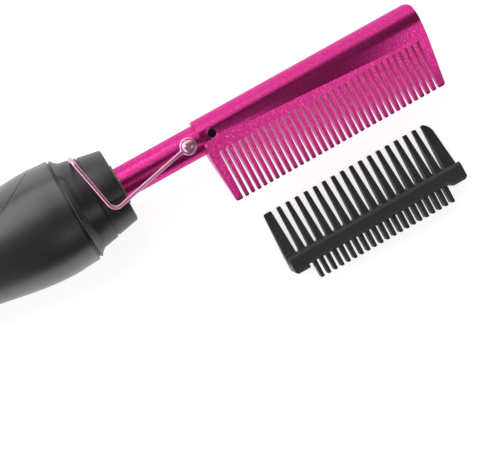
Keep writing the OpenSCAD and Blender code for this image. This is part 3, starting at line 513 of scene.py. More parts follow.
@once
def soft_touch_coat():
    shader = Shader("soft_touch_black")
    base = finish_colours().soft_black
    patches = shader.noise(9, 3)
    grain = shader.noise(0.16, 2)
    tone = shader.blend(patches, solid(shade(base, 0.85)), solid(shade(base, 1.2)))
    return shader.surface(
        Base_Color=tone, Roughness=patches * 0.06 + 0.36, Normal=shader.bump(grain, 0.012),
        Specular_IOR_Level=1.0, Coat_Weight=0.5, Coat_Roughness=0.3)


def plastic(name, base, rough, grain_size=0.3, depth=0.006):
    """Moulded plastic with a fine grain and slight mottling."""
    shader = Shader(name)
    patches = shader.noise(6, 3)
    grain = shader.noise(grain_size, 2)
    tone = shader.blend(patches, solid(shade(base, 0.88)), solid(shade(base, 1.14)))
    return shader.surface(
        Base_Color=tone, Roughness=patches * 0.08 + rough, Normal=shader.bump(grain, depth),
        Specular_IOR_Level=0.7)


@once
def satin_plastic():
    return plastic("satin_black_plastic", finish_colours().hard_black, 0.34)


@once
def gloss_plastic():
    return plastic("gloss_black_plastic", (0.008, 0.008, 0.009), 0.1, 0.8, 0.002)


@once
def cream_moulding():
    return plastic("cream_moulding", (0.72, 0.66, 0.5), 0.5)


@once
def fired_ceramic():
    return plastic("white_ceramic", (0.78, 0.76, 0.7), 0.42, 0.2, 0.01)


@once
def film_case():
    return plastic("ochre_case", (0.42, 0.26, 0.03), 0.3)


@once
def led_face():
    return plastic("led_face", (0.03, 0.032, 0.034), 0.12, 0.8, 0.002)


@once
def smoked_window():
    shader = Shader("smoked_window")
    haze = shader.noise(4, 2)
    tone = shader.blend(haze, solid((0.010, 0.011, 0.013)), solid((0.016, 0.018, 0.02)))
    return shader.surface(
        Base_Color=tone, Roughness=haze * 0.04 + 0.04, Coat_Weight=0.6, Coat_Roughness=0.03)


@once
def sparkling_coat():
    shader = Shader("sparkling_pink_coat")
    colours = finish_colours()
    flake = colours.flake / MM
    cell = {"Vector": shader.place, "Scale": 1 / colours.flake}
    flecks = shader.node("ShaderNodeTexVoronoi", {"feature": "F1"}, cell, "Color")
    parts = shader.node("ShaderNodeSeparateColor", None, {0: flecks}, "Red")
    # Painted glints: flakes picked by this channel are blended toward a brighter colour (painted glint) and
    # get a lower roughness, which is real
    tilt = shader.node("ShaderNodeSeparateColor", None, {0: flecks}, "Green")
    deep = shader.ramp(parts, (0.1, 1), (0.8, 0))
    spark = shader.ramp(tilt, (0.8, 0), (1.0, 1))
    clouds = shader.noise(2.6, 3)
    tone = shader.blend(deep * 0.4, solid(colours.paint), solid(colours.paint_deep))
    tone = shader.blend(spark * 0.35, tone, solid(colours.paint_glint))
    tone = shader.blend(clouds * 0.22, tone, solid(colours.paint_deep))
    return shader.surface(
        Base_Color=tone, Metallic=0.92, Roughness=0.3 - spark * 0.08,
        Specular_Tint=solid((0.95, 0.66, 0.9)),
        Normal=shader.bump(parts, 0.012 * flake))


def metal(name, base, rough, scratch=(0.2, 12, 12)):
    """Metal with fine drawn scratches along one axis, given as stretches in millimetres."""
    shader = Shader(name)
    drawn = shader.node("ShaderNodeMapping", None, {
        "Vector": shader.place, "Scale": [1 / (part * MM) for part in scratch]})
    lines = shader.node("ShaderNodeTexNoise", None, {"Vector": drawn, "Scale": 1, "Detail": 3})
    tone = shader.blend(lines, solid(shade(base, 0.85)), solid(shade(base, 1.1)))
    return shader.surface(
        Base_Color=tone, Metallic=0.95, Roughness=lines * 0.14 + rough,
        Normal=shader.bump(lines, 0.004))


@once
def rose_wire_coat():
    return metal("rose_silver_coat", finish_colours().wire, 0.26, (3, 0.6, 0.6))


@once
def blackened_steel():
    return metal("blackened_steel", (0.03, 0.03, 0.032), 0.35)


@once
def bright_steel():
    return metal("bright_steel", (0.56, 0.57, 0.59), 0.24)


@once
def drawn_brass():
    return metal("drawn_brass", (0.72, 0.5, 0.2), 0.25)


@once
def machined_aluminium():
    return metal("machined_aluminium", (0.74, 0.75, 0.77), 0.3)


def silicone_rubber(name, base):
    """Moulded silicone: dusty, with a faint bloom."""
    shader = Shader(name)
    bloom = shader.noise(5, 4)
    grain = shader.noise(0.22, 2)
    tone = shader.blend(bloom, solid(shade(base, 0.82)), solid(shade(base, 1.25)))
    return shader.surface(
        Base_Color=tone, Roughness=bloom * 0.14 + 0.46, Normal=shader.bump(grain, 0.012),
        Sheen_Weight=0.08, Sheen_Roughness=0.5)


@once
def black_silicone():
    return silicone_rubber("black_silicone", finish_colours().silicone)


@once
def olive_silicone():
    return silicone_rubber("olive_silicone", finish_colours().gasket)


@once
def solder_mask():
    shader = Shader("green_board")
    tracks = shader.node("ShaderNodeTexBrick", {"offset": 0.37, "squash": 0.8}, {
        "Vector": shader.place, "Scale": 1 / (6 * MM), "Mortar Size": 0.035, "Mortar Smooth": 0.3,
        "Color1": solid((0.012, 0.10, 0.045)), "Color2": solid((0.016, 0.12, 0.05)),
        "Mortar": solid((0.05, 0.21, 0.09))})
    return shader.surface(Base_Color=tracks, Roughness=shader.noise(4, 2) * 0.1 + 0.3)


@once
def woven_sleeve():
    shader = Shader("woven_sleeve")
    weave = shader.node("ShaderNodeTexWave", {"bands_direction": "DIAGONAL"}, {
        "Vector": shader.place, "Scale": 1 / (2 * MM), "Distortion": 1.5})
    tone = shader.blend(weave, solid((0.62, 0.6, 0.55)), solid((0.8, 0.79, 0.75)))
    return shader.surface(Base_Color=tone, Roughness=weave * 0.1 + 0.7, Normal=shader.bump(weave, 0.04))


FINISHES = {
    "black_soft_touch": soft_touch_coat,
    "black_plastic": satin_plastic,
    "black_gloss": gloss_plastic,
    "window": smoked_window,
    "comb_coat": sparkling_coat,
    "stand_pink": rose_wire_coat,
    "gasket": olive_silicone,
    "steel": bright_steel,
    "black_oxide": blackened_steel,
    "brass": drawn_brass,
    "mica_cream": cream_moulding,
    "board": solder_mask,
    "lead_sleeve": woven_sleeve,
    "silicone": black_silicone,
    "bare_aluminium": machined_aluminium,
    "ceramic": fired_ceramic,
    "led_glass": led_face,
    "film_case": film_case,
}


# ---------- handle ----------


def eased(start, end, share):
    """A smooth step from one value to the next."""
    return start + (end - start) * share * share * (3 - 2 * share)


def handle_stations(inset):
    """The handle's outline from the tail to the shoulder as [radius, x] points."""
    size = grip_sizes()
    knots = [
        (TAIL_X, size.tail_radius), (TAIL_X + size.belly_ahead, size.belly_radius),
        (SHOULDER_X - size.waist_back, size.waist_radius),
        (SHOULDER_X - size.crest_back, size.crest_radius), (SHOULDER_X, size.shoulder_radius),
    ]
    points = []
    for (x0, r0), (x1, r1), steps in zip(knots, knots[1:], (14, 18, 24, 8)):
        points += [(eased(r0, r1, i / steps) - inset, x0 + (x1 - x0) * i / steps)
                   for i in range(steps)]
    return points + [(knots[-1][1] - inset, knots[-1][0])]


def handle_outer_y(x, z):
    """Height of the handle's surface at a place, from its stations."""
    stations = handle_stations(0)
    for (r0, x0), (r1, x1) in zip(stations, stations[1:]):
        if x0 <= x <= x1:
            radius = r0 + (r1 - r0) * (x - x0) / (x1 - x0)
            return math.sqrt(radius ** 2 - z ** 2)
    raise ValueError("the place is off the handle")


def ramp_cutter(inset):
    """What lies above the ramp and the control facet."""
    size = grip_sizes()
    foot = SHOULDER_X - size.ramp_back
    top = size.crest_radius + 3 * PAST
    slope = 0.34
    level = FACET_Y - inset
    points = [(foot + (top - level) / slope, top), (TAIL_X - 3 * PAST, top),
              (TAIL_X - 3 * PAST, level), (foot - 5, level), (foot - 2, level + 0.1),
              (foot + 0.9, level + 0.6)]
    if inset:
        points[3:] = [(foot, level)]
    return prism("ramp", points, -top, top)


def squeeze(piece, reach, limit):
    """Flattens both sides of a round piece without an edge, so that they end at the limit."""
    start = 0.72 * reach
    span, room = reach - start, limit - start
    first = span / room
    for corner in piece.data.vertices:
        share = (abs(corner.co.z) - start) / span
        if share > 0:
            eased_in = first * share - (first - 1) * share * share
            corner.co.z = math.copysign(start + room * eased_in, corner.co.z)


def handle_solid(name, inset):
    """The handle's outer form, or its cavity when it is inset by the wall."""
    size = grip_sizes()
    over = PAST if inset else 0
    stations = handle_stations(inset)
    profile = [(0, TAIL_X - over), (stations[0][0], TAIL_X - over)] + stations[over > 0:]
    profile += [(stations[-1][0], SHOULDER_X + over), (0, SHOULDER_X + over)]
    if not inset:
        profile = [(0, TAIL_X)] + stations + [(0, SHOULDER_X)]
    piece = lathe(name, profile, 128)
    squeeze(piece, size.crest_radius - inset, FLAT_Z - inset)
    return cut(piece, ramp_cutter(inset))


def cover_side(shift):
    """Everything on the cover's side of the parting line, moved by shift."""
    size = grip_sizes()
    foot = SHOULDER_X - size.parting_back
    top = size.crest_radius + 4 * PAST
    slope = 0.64
    level = size.parting_height
    ease_in = arc((foot - 3.4, level + 6), 6, -math.pi / 2, -math.pi / 2 + 0.57, 6)
    points = [(foot + (top - level) / slope, top), (TAIL_X - 3 * PAST, top),
              (TAIL_X - 3 * PAST, level)] + ease_in
    piece = prism("cover_side", points, -top, top)
    piece.data.transform(Matrix.Translation((-0.5 * shift, 0.8 * shift, 0)))
    return piece


def handle_shell(name):
    size = grip_sizes()
    return cut(handle_solid(name, 0), handle_solid("cavity", size.wall))


def long_slot(x0, x1, width, steps=10):
    """A slot with round ends as [x, z] points."""
    r = width / 2
    quarter = math.pi / 2
    return (arc((x1 - r, 0), r, -quarter, quarter, steps)
            + arc((x0 + r, 0), r, quarter, 3 * quarter, steps))


def screw_places():
    """Places of the shell screws, from their node's box: [x, z]."""
    head = 2.6
    low, high = node_low("shell_screws"), node_high("shell_screws")
    front, rear, side = high.x - head, low.x + head, high.z - head
    return [(front, side), (front, -side), (rear, 0)]


KEYS = {"power": "power_button", "minus": "minus_button", "plus": "plus_button"}
KEY_TOP_Y = node_high("power_button").y


def key_x(node):
    return (node_low(node).x + node_high(node).x) / 2


def key_radius():
    """Radius of a key above its flange."""
    flange_side = 0.8
    return (node_high("power_button").z - node_low("power_button").z) / 2 - flange_side


class HOTCOMB_OT_handle_body(Operator):
    """Model the lower handle shell with its screw recesses"""

    bl_idname = "hotcomb.handle_body"
    bl_label = "Handle body"

    def execute(self, context):
        size = grip_sizes()
        body = cut(handle_shell("grip_body"), cover_side(-size.seam_gap / 2))
        soften(body, size.edge_round, 3)
        head_room = 2.8
        sink = 4.8
        for x, z in screw_places():
            seat = sink - handle_outer_y(x, z)
            cut(body, rod("recess", -30, seat, head_room, "y", (x, z), 48))
        smooth(body)
        settle(body, "tool", "black_soft_touch", "handle_body")
        return {"FINISHED"}


class HOTCOMB_OT_top_cover(Operator):
    """Model the upper handle shell with the pocket for the controls"""

    bl_idname = "hotcomb.top_cover"
    bl_label = "Top cover"

    def execute(self, context):
        size = grip_sizes()
        cover = combine(handle_shell("grip_cover"), cover_side(size.seam_gap / 2), "INTERSECT")
        low, high = node_low("control_plate"), node_high("control_plate")
        fit = 0.12
        pocket = long_slot(low.x - fit, high.x + fit, high.z - low.z + 2 * fit)
        cut(cover, prism("pocket", pocket, low.y, 30, "y"))
        for node in KEYS.values():
            cut(cover, rod("key_hole", 0, low.y + PAST, key_radius() + fit, "y", (key_x(node), 0), 48))
        ledge = 1
        low, high = node_low("display_window"), node_high("display_window")
        cut(cover, slab("window_hole", (low.x + ledge, 0, low.z + ledge),
                        (high.x - ledge, low.y + PAST, high.z - ledge)))
        soften(cover, size.edge_round * 0.7, 3)
        settle(cover, "tool", "black_soft_touch", "top_cover")
        return {"FINISHED"}


class HOTCOMB_OT_controls(Operator):
    """Model the control plate, the display window and the three keys"""

    bl_idname = "hotcomb.controls"
    bl_label = "Controls"

    def execute(self, context):
        self.model_plate()
        for symbol, node in KEYS.items():
            self.model_key(symbol, node)
        low, high = node_low("display_window"), node_high("display_window")
        window = slab("display_glass", low, (high.x, high.y, high.z))
        soften(window, 0.18, 3)
        settle(window, "tool", "window", "display_window")
        return {"FINISHED"}

    def model_plate(self):
        low, high = node_low("control_plate"), node_high("control_plate")
        plate = prism("key_plate", long_slot(low.x, high.x, high.z - low.z), low.y, high.y, "y")
        fit = 0.12
        for node in KEYS.values():
            hole = rod("hole", low.y - PAST, high.y + PAST, key_radius() + fit, "y", (key_x(node), 0), 48)
            cut(plate, hole)
        pane_low, pane_high = node_low("display_window"), node_high("display_window")
        cut(plate, slab("pane", (pane_low.x - fit, low.y - PAST, pane_low.z - fit),
                        (pane_high.x + fit, high.y + PAST, pane_high.z + fit)))
        soften(plate, 0.14, 2)
        settle(plate, "tool", "black_gloss", "control_plate")

    def model_key(self, symbol, node):
        """A dished key with a raised symbol, its flange and its stem."""
        radius = key_radius()
        low, high = node_low(node), node_high(node)
        flange = high.z
        dish = 0.22
        shoulder = FACET_Y - 2.3 - 0.1
        profile = [(0, low.y), (1, low.y), (1, shoulder - 0.9), (flange, shoulder - 0.9),
                   (flange, shoulder), (radius, shoulder), (radius, high.y - 0.25),
                   (radius - 0.08, high.y - 0.07), (radius - 0.25, high.y)]
        profile += [(radius * 0.8, high.y - dish * 0.5), (radius * 0.5, high.y - dish * 0.85),
                    (0, high.y - dish)]
        key = lathe(symbol + "_key", profile, 48)
        key.data.transform(Matrix(((0, 1, 0, key_x(node)), (1, 0, 0, 0), (0, 0, 1, 0), (0, 0, 0, 1))))
        in_edit_mode(key, weld)
        for mark in self.model_symbol(symbol, key_x(node), high.y):
            combine(key, mark, "UNION")
        smooth(key, 35)
        settle(key, symbol + "_key", "black_plastic", node)

    def model_symbol(self, symbol, x, top):
        """The raised bars and ring of a key's symbol."""
        low, high, half = top - 0.5, top - 0.06, 1.5
        bar = 0.22
        across = slab("mark", (x - bar, low, -half), (x + bar, high, half))
        upright = slab("mark", (x - half, low, -bar), (x + half, high, bar))
        if symbol == "minus":
            bpy.data.objects.remove(upright)
            return [across]
        if symbol == "plus":
            return [across, upright]
        bpy.data.objects.remove(across)
        bpy.data.objects.remove(upright)
        opening = math.radians(38)
        outer = arc((x, 0), half, opening, FULL_TURN - opening, 28)
        inner = arc((x, 0), half - 2 * bar, FULL_TURN - opening, opening, 28)
        ring = prism("mark", outer + inner, low, high, "y")
        return [ring, slab("mark", (x + 0.1, low, -bar), (x + half + 0.2, high, bar))]


class HOTCOMB_OT_collar(Operator):
    """Model the collar with its hollow sweep and the rest notch for the wire"""

    bl_idname = "hotcomb.collar"
    bl_label = "Collar"

    def execute(self, context):
        size = grip_sizes()
        groove = 0.75
        spigot_x = node_low("collar").x
        spigot_r = size.shoulder_radius - size.wall - 0.1
        sweep = 4.4
        steps = 14
        root, neck = size.collar_root_radius, size.collar_neck_radius
        ridge = 0.5
        floor = root - 0.5
        profile = [(spigot_r - 2.2, spigot_x), (spigot_r, spigot_x), (spigot_r, SHOULDER_X + 0.02),
                   (floor, SHOULDER_X + 0.02), (floor, SHOULDER_X + groove)]
        rim = arc((SHOULDER_X + groove + ridge, root - ridge), ridge, math.pi, math.pi / 2, 6)
        profile += [(r, x) for x, r in rim]
        start = SHOULDER_X + groove + ridge
        profile += [(neck + (root - neck) * (1 - i / steps) ** 2,
                     start + (SHOULDER_X + sweep - start) * i / steps)
                    for i in range(1, steps + 1)]
        edge = 0.35
        front = size.collar_front_radius
        profile += [(front + 0.02, COLLAR_X - edge), (front - 0.1, COLLAR_X - edge / 3),
                    (front - edge, COLLAR_X), (12.8, COLLAR_X), (12.8, SHOULDER_X + 1.2),
                    (8.6, SHOULDER_X + 1.2), (8.6, SHOULDER_X), (spigot_r - 2.2, SHOULDER_X)]
        collar = lathe("collar_ring", profile, 128)
        wire = head_sizes()
        notch_low = front - 1.1
        half = wire.wire_radius + 0.35
        floor = arc((-wire.crossbar_back, notch_low + half), half, math.pi, FULL_TURN, 10)
        notch = floor + [(-wire.crossbar_back + half, 30), (-wire.crossbar_back - half, 30)]
        cut(collar, prism("notch", notch, -25, 25))
        for side in (-1, 1):
            limit = FLAT_Z - size.wall - 0.1
            cut(collar, slab("flat", (spigot_x - PAST, -25, min(side * limit, side * 30)),
                             (SHOULDER_X, 25, max(side * limit, side * 30))))
        smooth(collar, 28)
        settle(collar, "tool", "black_plastic", "collar")
        return {"FINISHED"}


class HOTCOMB_OT_nose(Operator):
    """Model the nose cap with its rounded front edge"""

    bl_idname = "hotcomb.nose"
    bl_label = "Nose cap"

    def execute(self, context):
        size = grip_sizes()
        edge = size.nose_edge
        gap = 0.45
        back = 0.3
        corner = arc((-edge, size.nose_face_radius - edge), edge, math.pi / 2, 0, 8)
        root = arc((COLLAR_X + gap + back, size.nose_root_radius - back), back, math.pi, math.pi / 2, 4)
        bore = node_high("nose_gasket").z - 1.3
        inner = 11.2
        rebate = size.nose_root_radius - 0.35
        profile = [(inner, node_low("nose_cap").x), (12.7, node_low("nose_cap").x),
                   (12.7, COLLAR_X + 0.02), (rebate, COLLAR_X + 0.02), (rebate, COLLAR_X + gap)]
        profile += [(r, x) for x, r in root] + [(r, x) for x, r in corner]
        profile += [(bore, 0), (bore, -2), (size.nose_face_radius - 2, -2), (inner, COLLAR_X + PAST)]
        cap = smooth(lathe("nose_ring", profile, 128), 28)
        settle(cap, "tool", "black_plastic", "nose_cap")
        return {"FINISHED"}


# ---------- comb head ----------


def flank_angle():
    """Angle of the wedge's flanks, from the two circles that they touch."""
    size = head_sizes()
    return math.asin((size.spine_radius - size.tip_radius) / (size.tooth_reach - size.tip_radius))


def flared_end(x, half, end, rounding):
    """The open end of a slot at x, flared so that it rounds the teeth on both sides of it."""
    way = math.copysign(1, end)
    quarter = math.pi / 2
    inner = end - way * rounding
    left = [(x - half - rounding + rounding * math.cos(quarter * i / 5),
             inner + way * rounding * math.sin(quarter * i / 5)) for i in range(6)]
    past = [(left[-1][0], end + way * PAST), (2 * x - left[-1][0], end + way * PAST)]
    return left + past + [(2 * x - place, height) for place, height in reversed(left)]


def head_section():
    """The comb head seen from its end, as [y, z] points."""
    size = head_sizes()
    flank = flank_angle()
    side = math.pi / 2 + flank
    spine = arc((0, 0), size.spine_radius, -side, side, 56)
    tip_y = size.tip_radius - size.tooth_reach
    return spine + arc((tip_y, 0), size.tip_radius, side, FULL_TURN - side, 10)


def head_side():
    """The comb head seen from its side, as [x, y] points."""
    size = head_sizes()
    corner = 2.5
    small = 0.5
    top = size.spine_radius + 0.02
    taper, low, end = size.end_taper, -size.tooth_reach - 0.02, 1.0
    return (
        arc((HEAD_END_X - corner, top - corner), corner, 0, math.pi / 2, 8)
        + arc((HEAD_X + small, top - small), small, math.pi / 2, math.pi, 3)
        + [(HEAD_X, -size.tooth_root)]
        + arc((HEAD_X + taper + end, low + end), end, math.pi, 1.5 * math.pi, 5)
        + arc((HEAD_END_X - taper - end, low + end), end, 1.5 * math.pi, FULL_TURN, 5)
        + [(HEAD_END_X, -size.tooth_root)])


class HOTCOMB_OT_comb_head(Operator):
    """Model the spine and the teeth with their round roots"""

    bl_idname = "hotcomb.comb_head"
    bl_label = "Comb head"

    def execute(self, context):
        size = head_sizes()
        far = size.spine_radius + PAST
        head = prism("pink_comb", head_section(), HEAD_X - PAST, HEAD_END_X + PAST, "x")
        combine(head, prism("side", head_side(), -far, far), "INTERSECT")
        half = size.slot_width / 2
        first = (HEAD_X + HEAD_END_X - (size.slots - 1) * size.tooth_pitch) / 2
        root = arc((first, -size.tooth_root - half), half, 0, math.pi, 8)
        flare = flared_end(first, half, -size.tooth_reach, size.tooth_end)
        slots = row_of(prism("slots", root + flare, -far, far), size.slots, (size.tooth_pitch, 0, 0))
        cut(head, slots)
        socket = size.barrel_radius + 0.06
        cut(head, rod("socket", HEAD_X - PAST, HEAD_X + 10, socket, "x", sides=64))
        screw_x = (node_low("set_screw").x + node_high("set_screw").x) / 2
        hole = (node_high("set_screw").x - node_low("set_screw").x) / 2 + 0.1
        cut(head, rod("screw_hole", 0, far, hole, "z", (screw_x, 0), 32))
        soften(head, size.head_edge, 2, 40)
        crest = size.spine_radius
        sink = [(0, crest - 0.75), (hole, crest - 0.75), (hole + 1.0, crest + 0.25), (0, crest + 0.25)]
        sink = lathe("screw_chamfer", sink, 48)
        sink.data.transform(Matrix(((0, 0, 1, screw_x), (0, 1, 0, 0), (1, 0, 0, 0), (0, 0, 0, 1))))
        in_edit_mode(sink, weld)
        cut(head, sink)
        smooth(head, 32)
        settle(head, "tool", "comb_coat", "comb_head")
        return {"FINISHED"}


# ---------- wire stand ----------


def bent_path(corners, radius, steps=10):
    """Points along a path of straight runs with round bends."""
    points = [corners[0]]
    for before, here, after in zip(corners, corners[1:], corners[2:]):
        into, out = (here - before).normalized(), (after - here).normalized()
        turn = into.angle(out)
        reach = radius * math.tan(turn / 2)
        start = here - reach * into
        inward = (out - into.dot(out) * into).normalized()
        centre = start + radius * inward
        for i in range(steps + 1):
            angle = turn * i / steps
            points.append(centre - radius * math.cos(angle) * inward + radius * math.sin(angle) * into)
    return points + [corners[-1]]


def wire_through(name, points, radius, sides=5):
    """A round wire along a list of points, as a mesh."""
    bpy.ops.object.select_all(action="DESELECT")
    bpy.ops.curve.primitive_bezier_curve_add()
    wire = bpy.context.object
    wire.name = name
    line = wire.data
    line.splines.clear()
    spline = line.splines.new("POLY")
    spline.points.add(len(points) - 1)
    for knot, point in zip(spline.points, points):
        knot.co = (*point, 1)
    line.bevel_depth = radius
    line.bevel_resolution = sides
    line.use_fill_caps = True
    only(wire)
    bpy.ops.object.convert(target="MESH")
    wire = bpy.context.object
    in_edit_mode(wire, weld)
    return wire


class HOTCOMB_OT_wire_stand(Operator):
    """Model the bent wire with an eye at each end"""

    bl_idname = "hotcomb.wire_stand"
    bl_label = "Wire stand"

    def execute(self, context):
        size = head_sizes()
        high = node_high("stand_wire")
        half_width = high.z - size.wire_radius - 0.03
        crossbar_y = high.y - size.wire_radius
        eye_z = size.barrel_radius + 0.1 + size.wire_radius
        corner = Vector((-size.corner_back, -size.corner_drop, half_width))
        top = Vector((-size.crossbar_back, crossbar_y, half_width))
        pivot = Vector((PIVOT_X, 0, eye_z))
        arm = (Vector((corner.x, corner.y)) - Vector((PIVOT_X, 0))).normalized()
        neck, eye = self.eye_points(arm)
        start = pivot + Vector((*neck[-1], 0))
        runs = bent_path([start, corner, top, self.flip(top), self.flip(corner), self.flip(start)],
                         size.bend_radius)
        rise = [pivot + Vector((*point, 0)) for point in eye + neck]
        path = rise[:-1] + runs[:-1] + [self.flip(point) for point in reversed(rise)]
        stand = wire_through("rest_wire", path, size.wire_radius)
        for turned in (False, True):
            points = [pivot + Vector((*point, 0)) for point in self.mirrored(neck, arm)]
            if turned:
                points = [self.flip(point) for point in points]
            combine(stand, wire_through("neck", points, size.wire_radius * 0.999), "UNION")
        smooth(stand, 40)
        settle(stand, "stand", "stand_pink", "stand_wire")
        return {"FINISHED"}

    def flip(self, point):
        return Vector((point[0], point[1], -point[2]))

    def mirrored(self, points, arm):
        """Points mirrored across the arm's line, in the plane of the eye."""
        side = Vector((-arm.y, arm.x))
        return [Vector(p) - 2 * Vector(p).dot(side) * side for p in points]

    def eye_points(self, arm):
        """The neck and the eye round the pivot, both as points in the plane of the eye."""
        ring = head_sizes().eye_radius
        fillet = 1.5
        side = Vector((-arm.y, arm.x))
        reach = math.sqrt((ring + fillet) ** 2 - fillet ** 2)
        swing = math.atan2(fillet, reach)
        steps = 8
        neck = []
        for i in range(steps + 1):
            angle = (math.pi / 2 - swing) * i / steps + swing
            neck.append(reach * arm + fillet * side
                        - fillet * math.cos(angle) * arm - fillet * math.sin(angle) * side)
        around = 40
        eye = []
        for i in range(around):
            angle = -swing + (2 * swing - FULL_TURN) * i / around
            eye.append(ring * math.cos(angle) * arm + ring * math.sin(angle) * side)
        return neck, eye


class HOTCOMB_OT_stand_screws(Operator):
    """Model the two cross-recess screws that the stand turns on"""

    bl_idname = "hotcomb.stand_screws"
    bl_label = "Stand screws"

    def execute(self, context):
        high = node_high("stand_screws")
        head_r, rim, rise = 2.25, 0.2, 0.9
        seat = high.z - rim - rise
        ball = (head_r ** 2 + rise ** 2) / (2 * rise)
        slant = math.asin(head_r / ball)
        dome = arc((high.z - ball, 0), ball, slant, 0, 10)
        profile = [(0, 3.8), (1.2, 3.8), (1.2, 5.6), (1.7, 5.6), (1.7, seat), (head_r, seat)]
        profile += [(r, x) for x, r in dome]
        screws = []
        for side in (1, -1):
            screw = lathe("pivot_screw", profile, 48)
            screw.data.transform(Matrix(((0, 0, 1, 0), (0, 1, 0, 0), (side, 0, 0, 0), (0, 0, 0, 1))))
            in_edit_mode(screw, weld)
            for turn in (20, 110):
                blade = slab("blade", (-1.3, -0.32, 0), (1.3, 0.32, 2))
                blade.data.transform(Matrix.Rotation(math.radians(turn), 4, "Z")
                                     @ Matrix.Translation((0, 0, high.z - 0.6)))
                if side < 0:
                    blade.data.transform(Matrix.Scale(-1, 4, (0, 0, 1)))
                    in_edit_mode(blade, weld)
                cut(screw, blade)
            screws.append(screw)
        pair = joined(*screws)
        pair.data.transform(Matrix.Translation((PIVOT_X, 0, 0)))
        smooth(pair, 32)
        settle(pair, "tool", "stand_pink", "stand_screws")
        return {"FINISHED"}


# ---------- tail ----------


class HOTCOMB_OT_tail(Operator):
    """Model the tail cap and the swivelling cord gland with its grip ribs"""

    bl_idname = "hotcomb.tail"
    bl_label = "Tail"

    def execute(self, context):
        size = grip_sizes()
        steps = 12
        end_r = 9.4
        spigot_end = node_high("tail_cap").x
        spigot_r = size.tail_radius - size.wall - 0.1
        profile = [(6.05, CAP_END_X), (end_r - 0.4, CAP_END_X)]
        profile += [(end_r + (size.tail_radius - end_r) * math.sin(math.pi / 2 * i / steps),
                     CAP_END_X + 0.25 + (TAIL_X - CAP_END_X - 0.45) * i / steps)
                    for i in range(steps + 1)]
        profile += [(spigot_r, TAIL_X), (spigot_r, spigot_end), (spigot_r - 1.6, spigot_end),
                    (spigot_r - 1.6, TAIL_X), (6.05, TAIL_X)]
        cap = lathe("end_cap", profile, 96)
        cut(cap, slab("level", (CAP_END_X - PAST, FACET_Y, -20), (spigot_end + PAST, 20, 20)))
        inner = FACET_Y - size.wall - 0.1
        cut(cap, slab("spigot_level", (TAIL_X, inner, -20), (spigot_end + PAST, 20, 20)))
        smooth(cap, 28)
        settle(cap, "tool", "black_plastic", "tail_cap")
        self.model_gland()
        return {"FINISHED"}

    def model_gland(self):
        bore = 3.2
        outer = node_high("cord_gland").z
        neck = 6
        inner_x = node_high("cord_gland").x
        front = CAP_END_X - 0.2
        bore_end = GLAND_END_X + 11.6
        clip_x = TAIL_X + 0.1
        profile = [(bore + 0.5, GLAND_END_X), (outer - 1.2, GLAND_END_X), (outer - 0.35, GLAND_END_X + 0.35),
                   (outer - 0.05, GLAND_END_X + 1), (outer, front - 0.3), (outer - 0.3, front), (neck, front),
                   (neck, clip_x), (neck - 0.6, clip_x), (neck - 0.6, clip_x + 1.05), (neck, clip_x + 1.05),
                   (neck, inner_x), (0, inner_x), (0, bore_end), (bore, bore_end), (bore, GLAND_END_X + 0.5)]
        gland = lathe("swivel_gland", profile, 96)
        ribs = 18
        for i in range(ribs):
            angle = FULL_TURN * i / ribs
            at = ((outer + 0.1) * math.cos(angle), (outer + 0.1) * math.sin(angle))
            cut(gland, rod("flute", GLAND_END_X - PAST, front - 0.7, 0.55, "x", at, 12))
        smooth(gland, 28)
        settle(gland, "swivel", "black_plastic", "cord_gland")


# ---------- tooth guard ----------


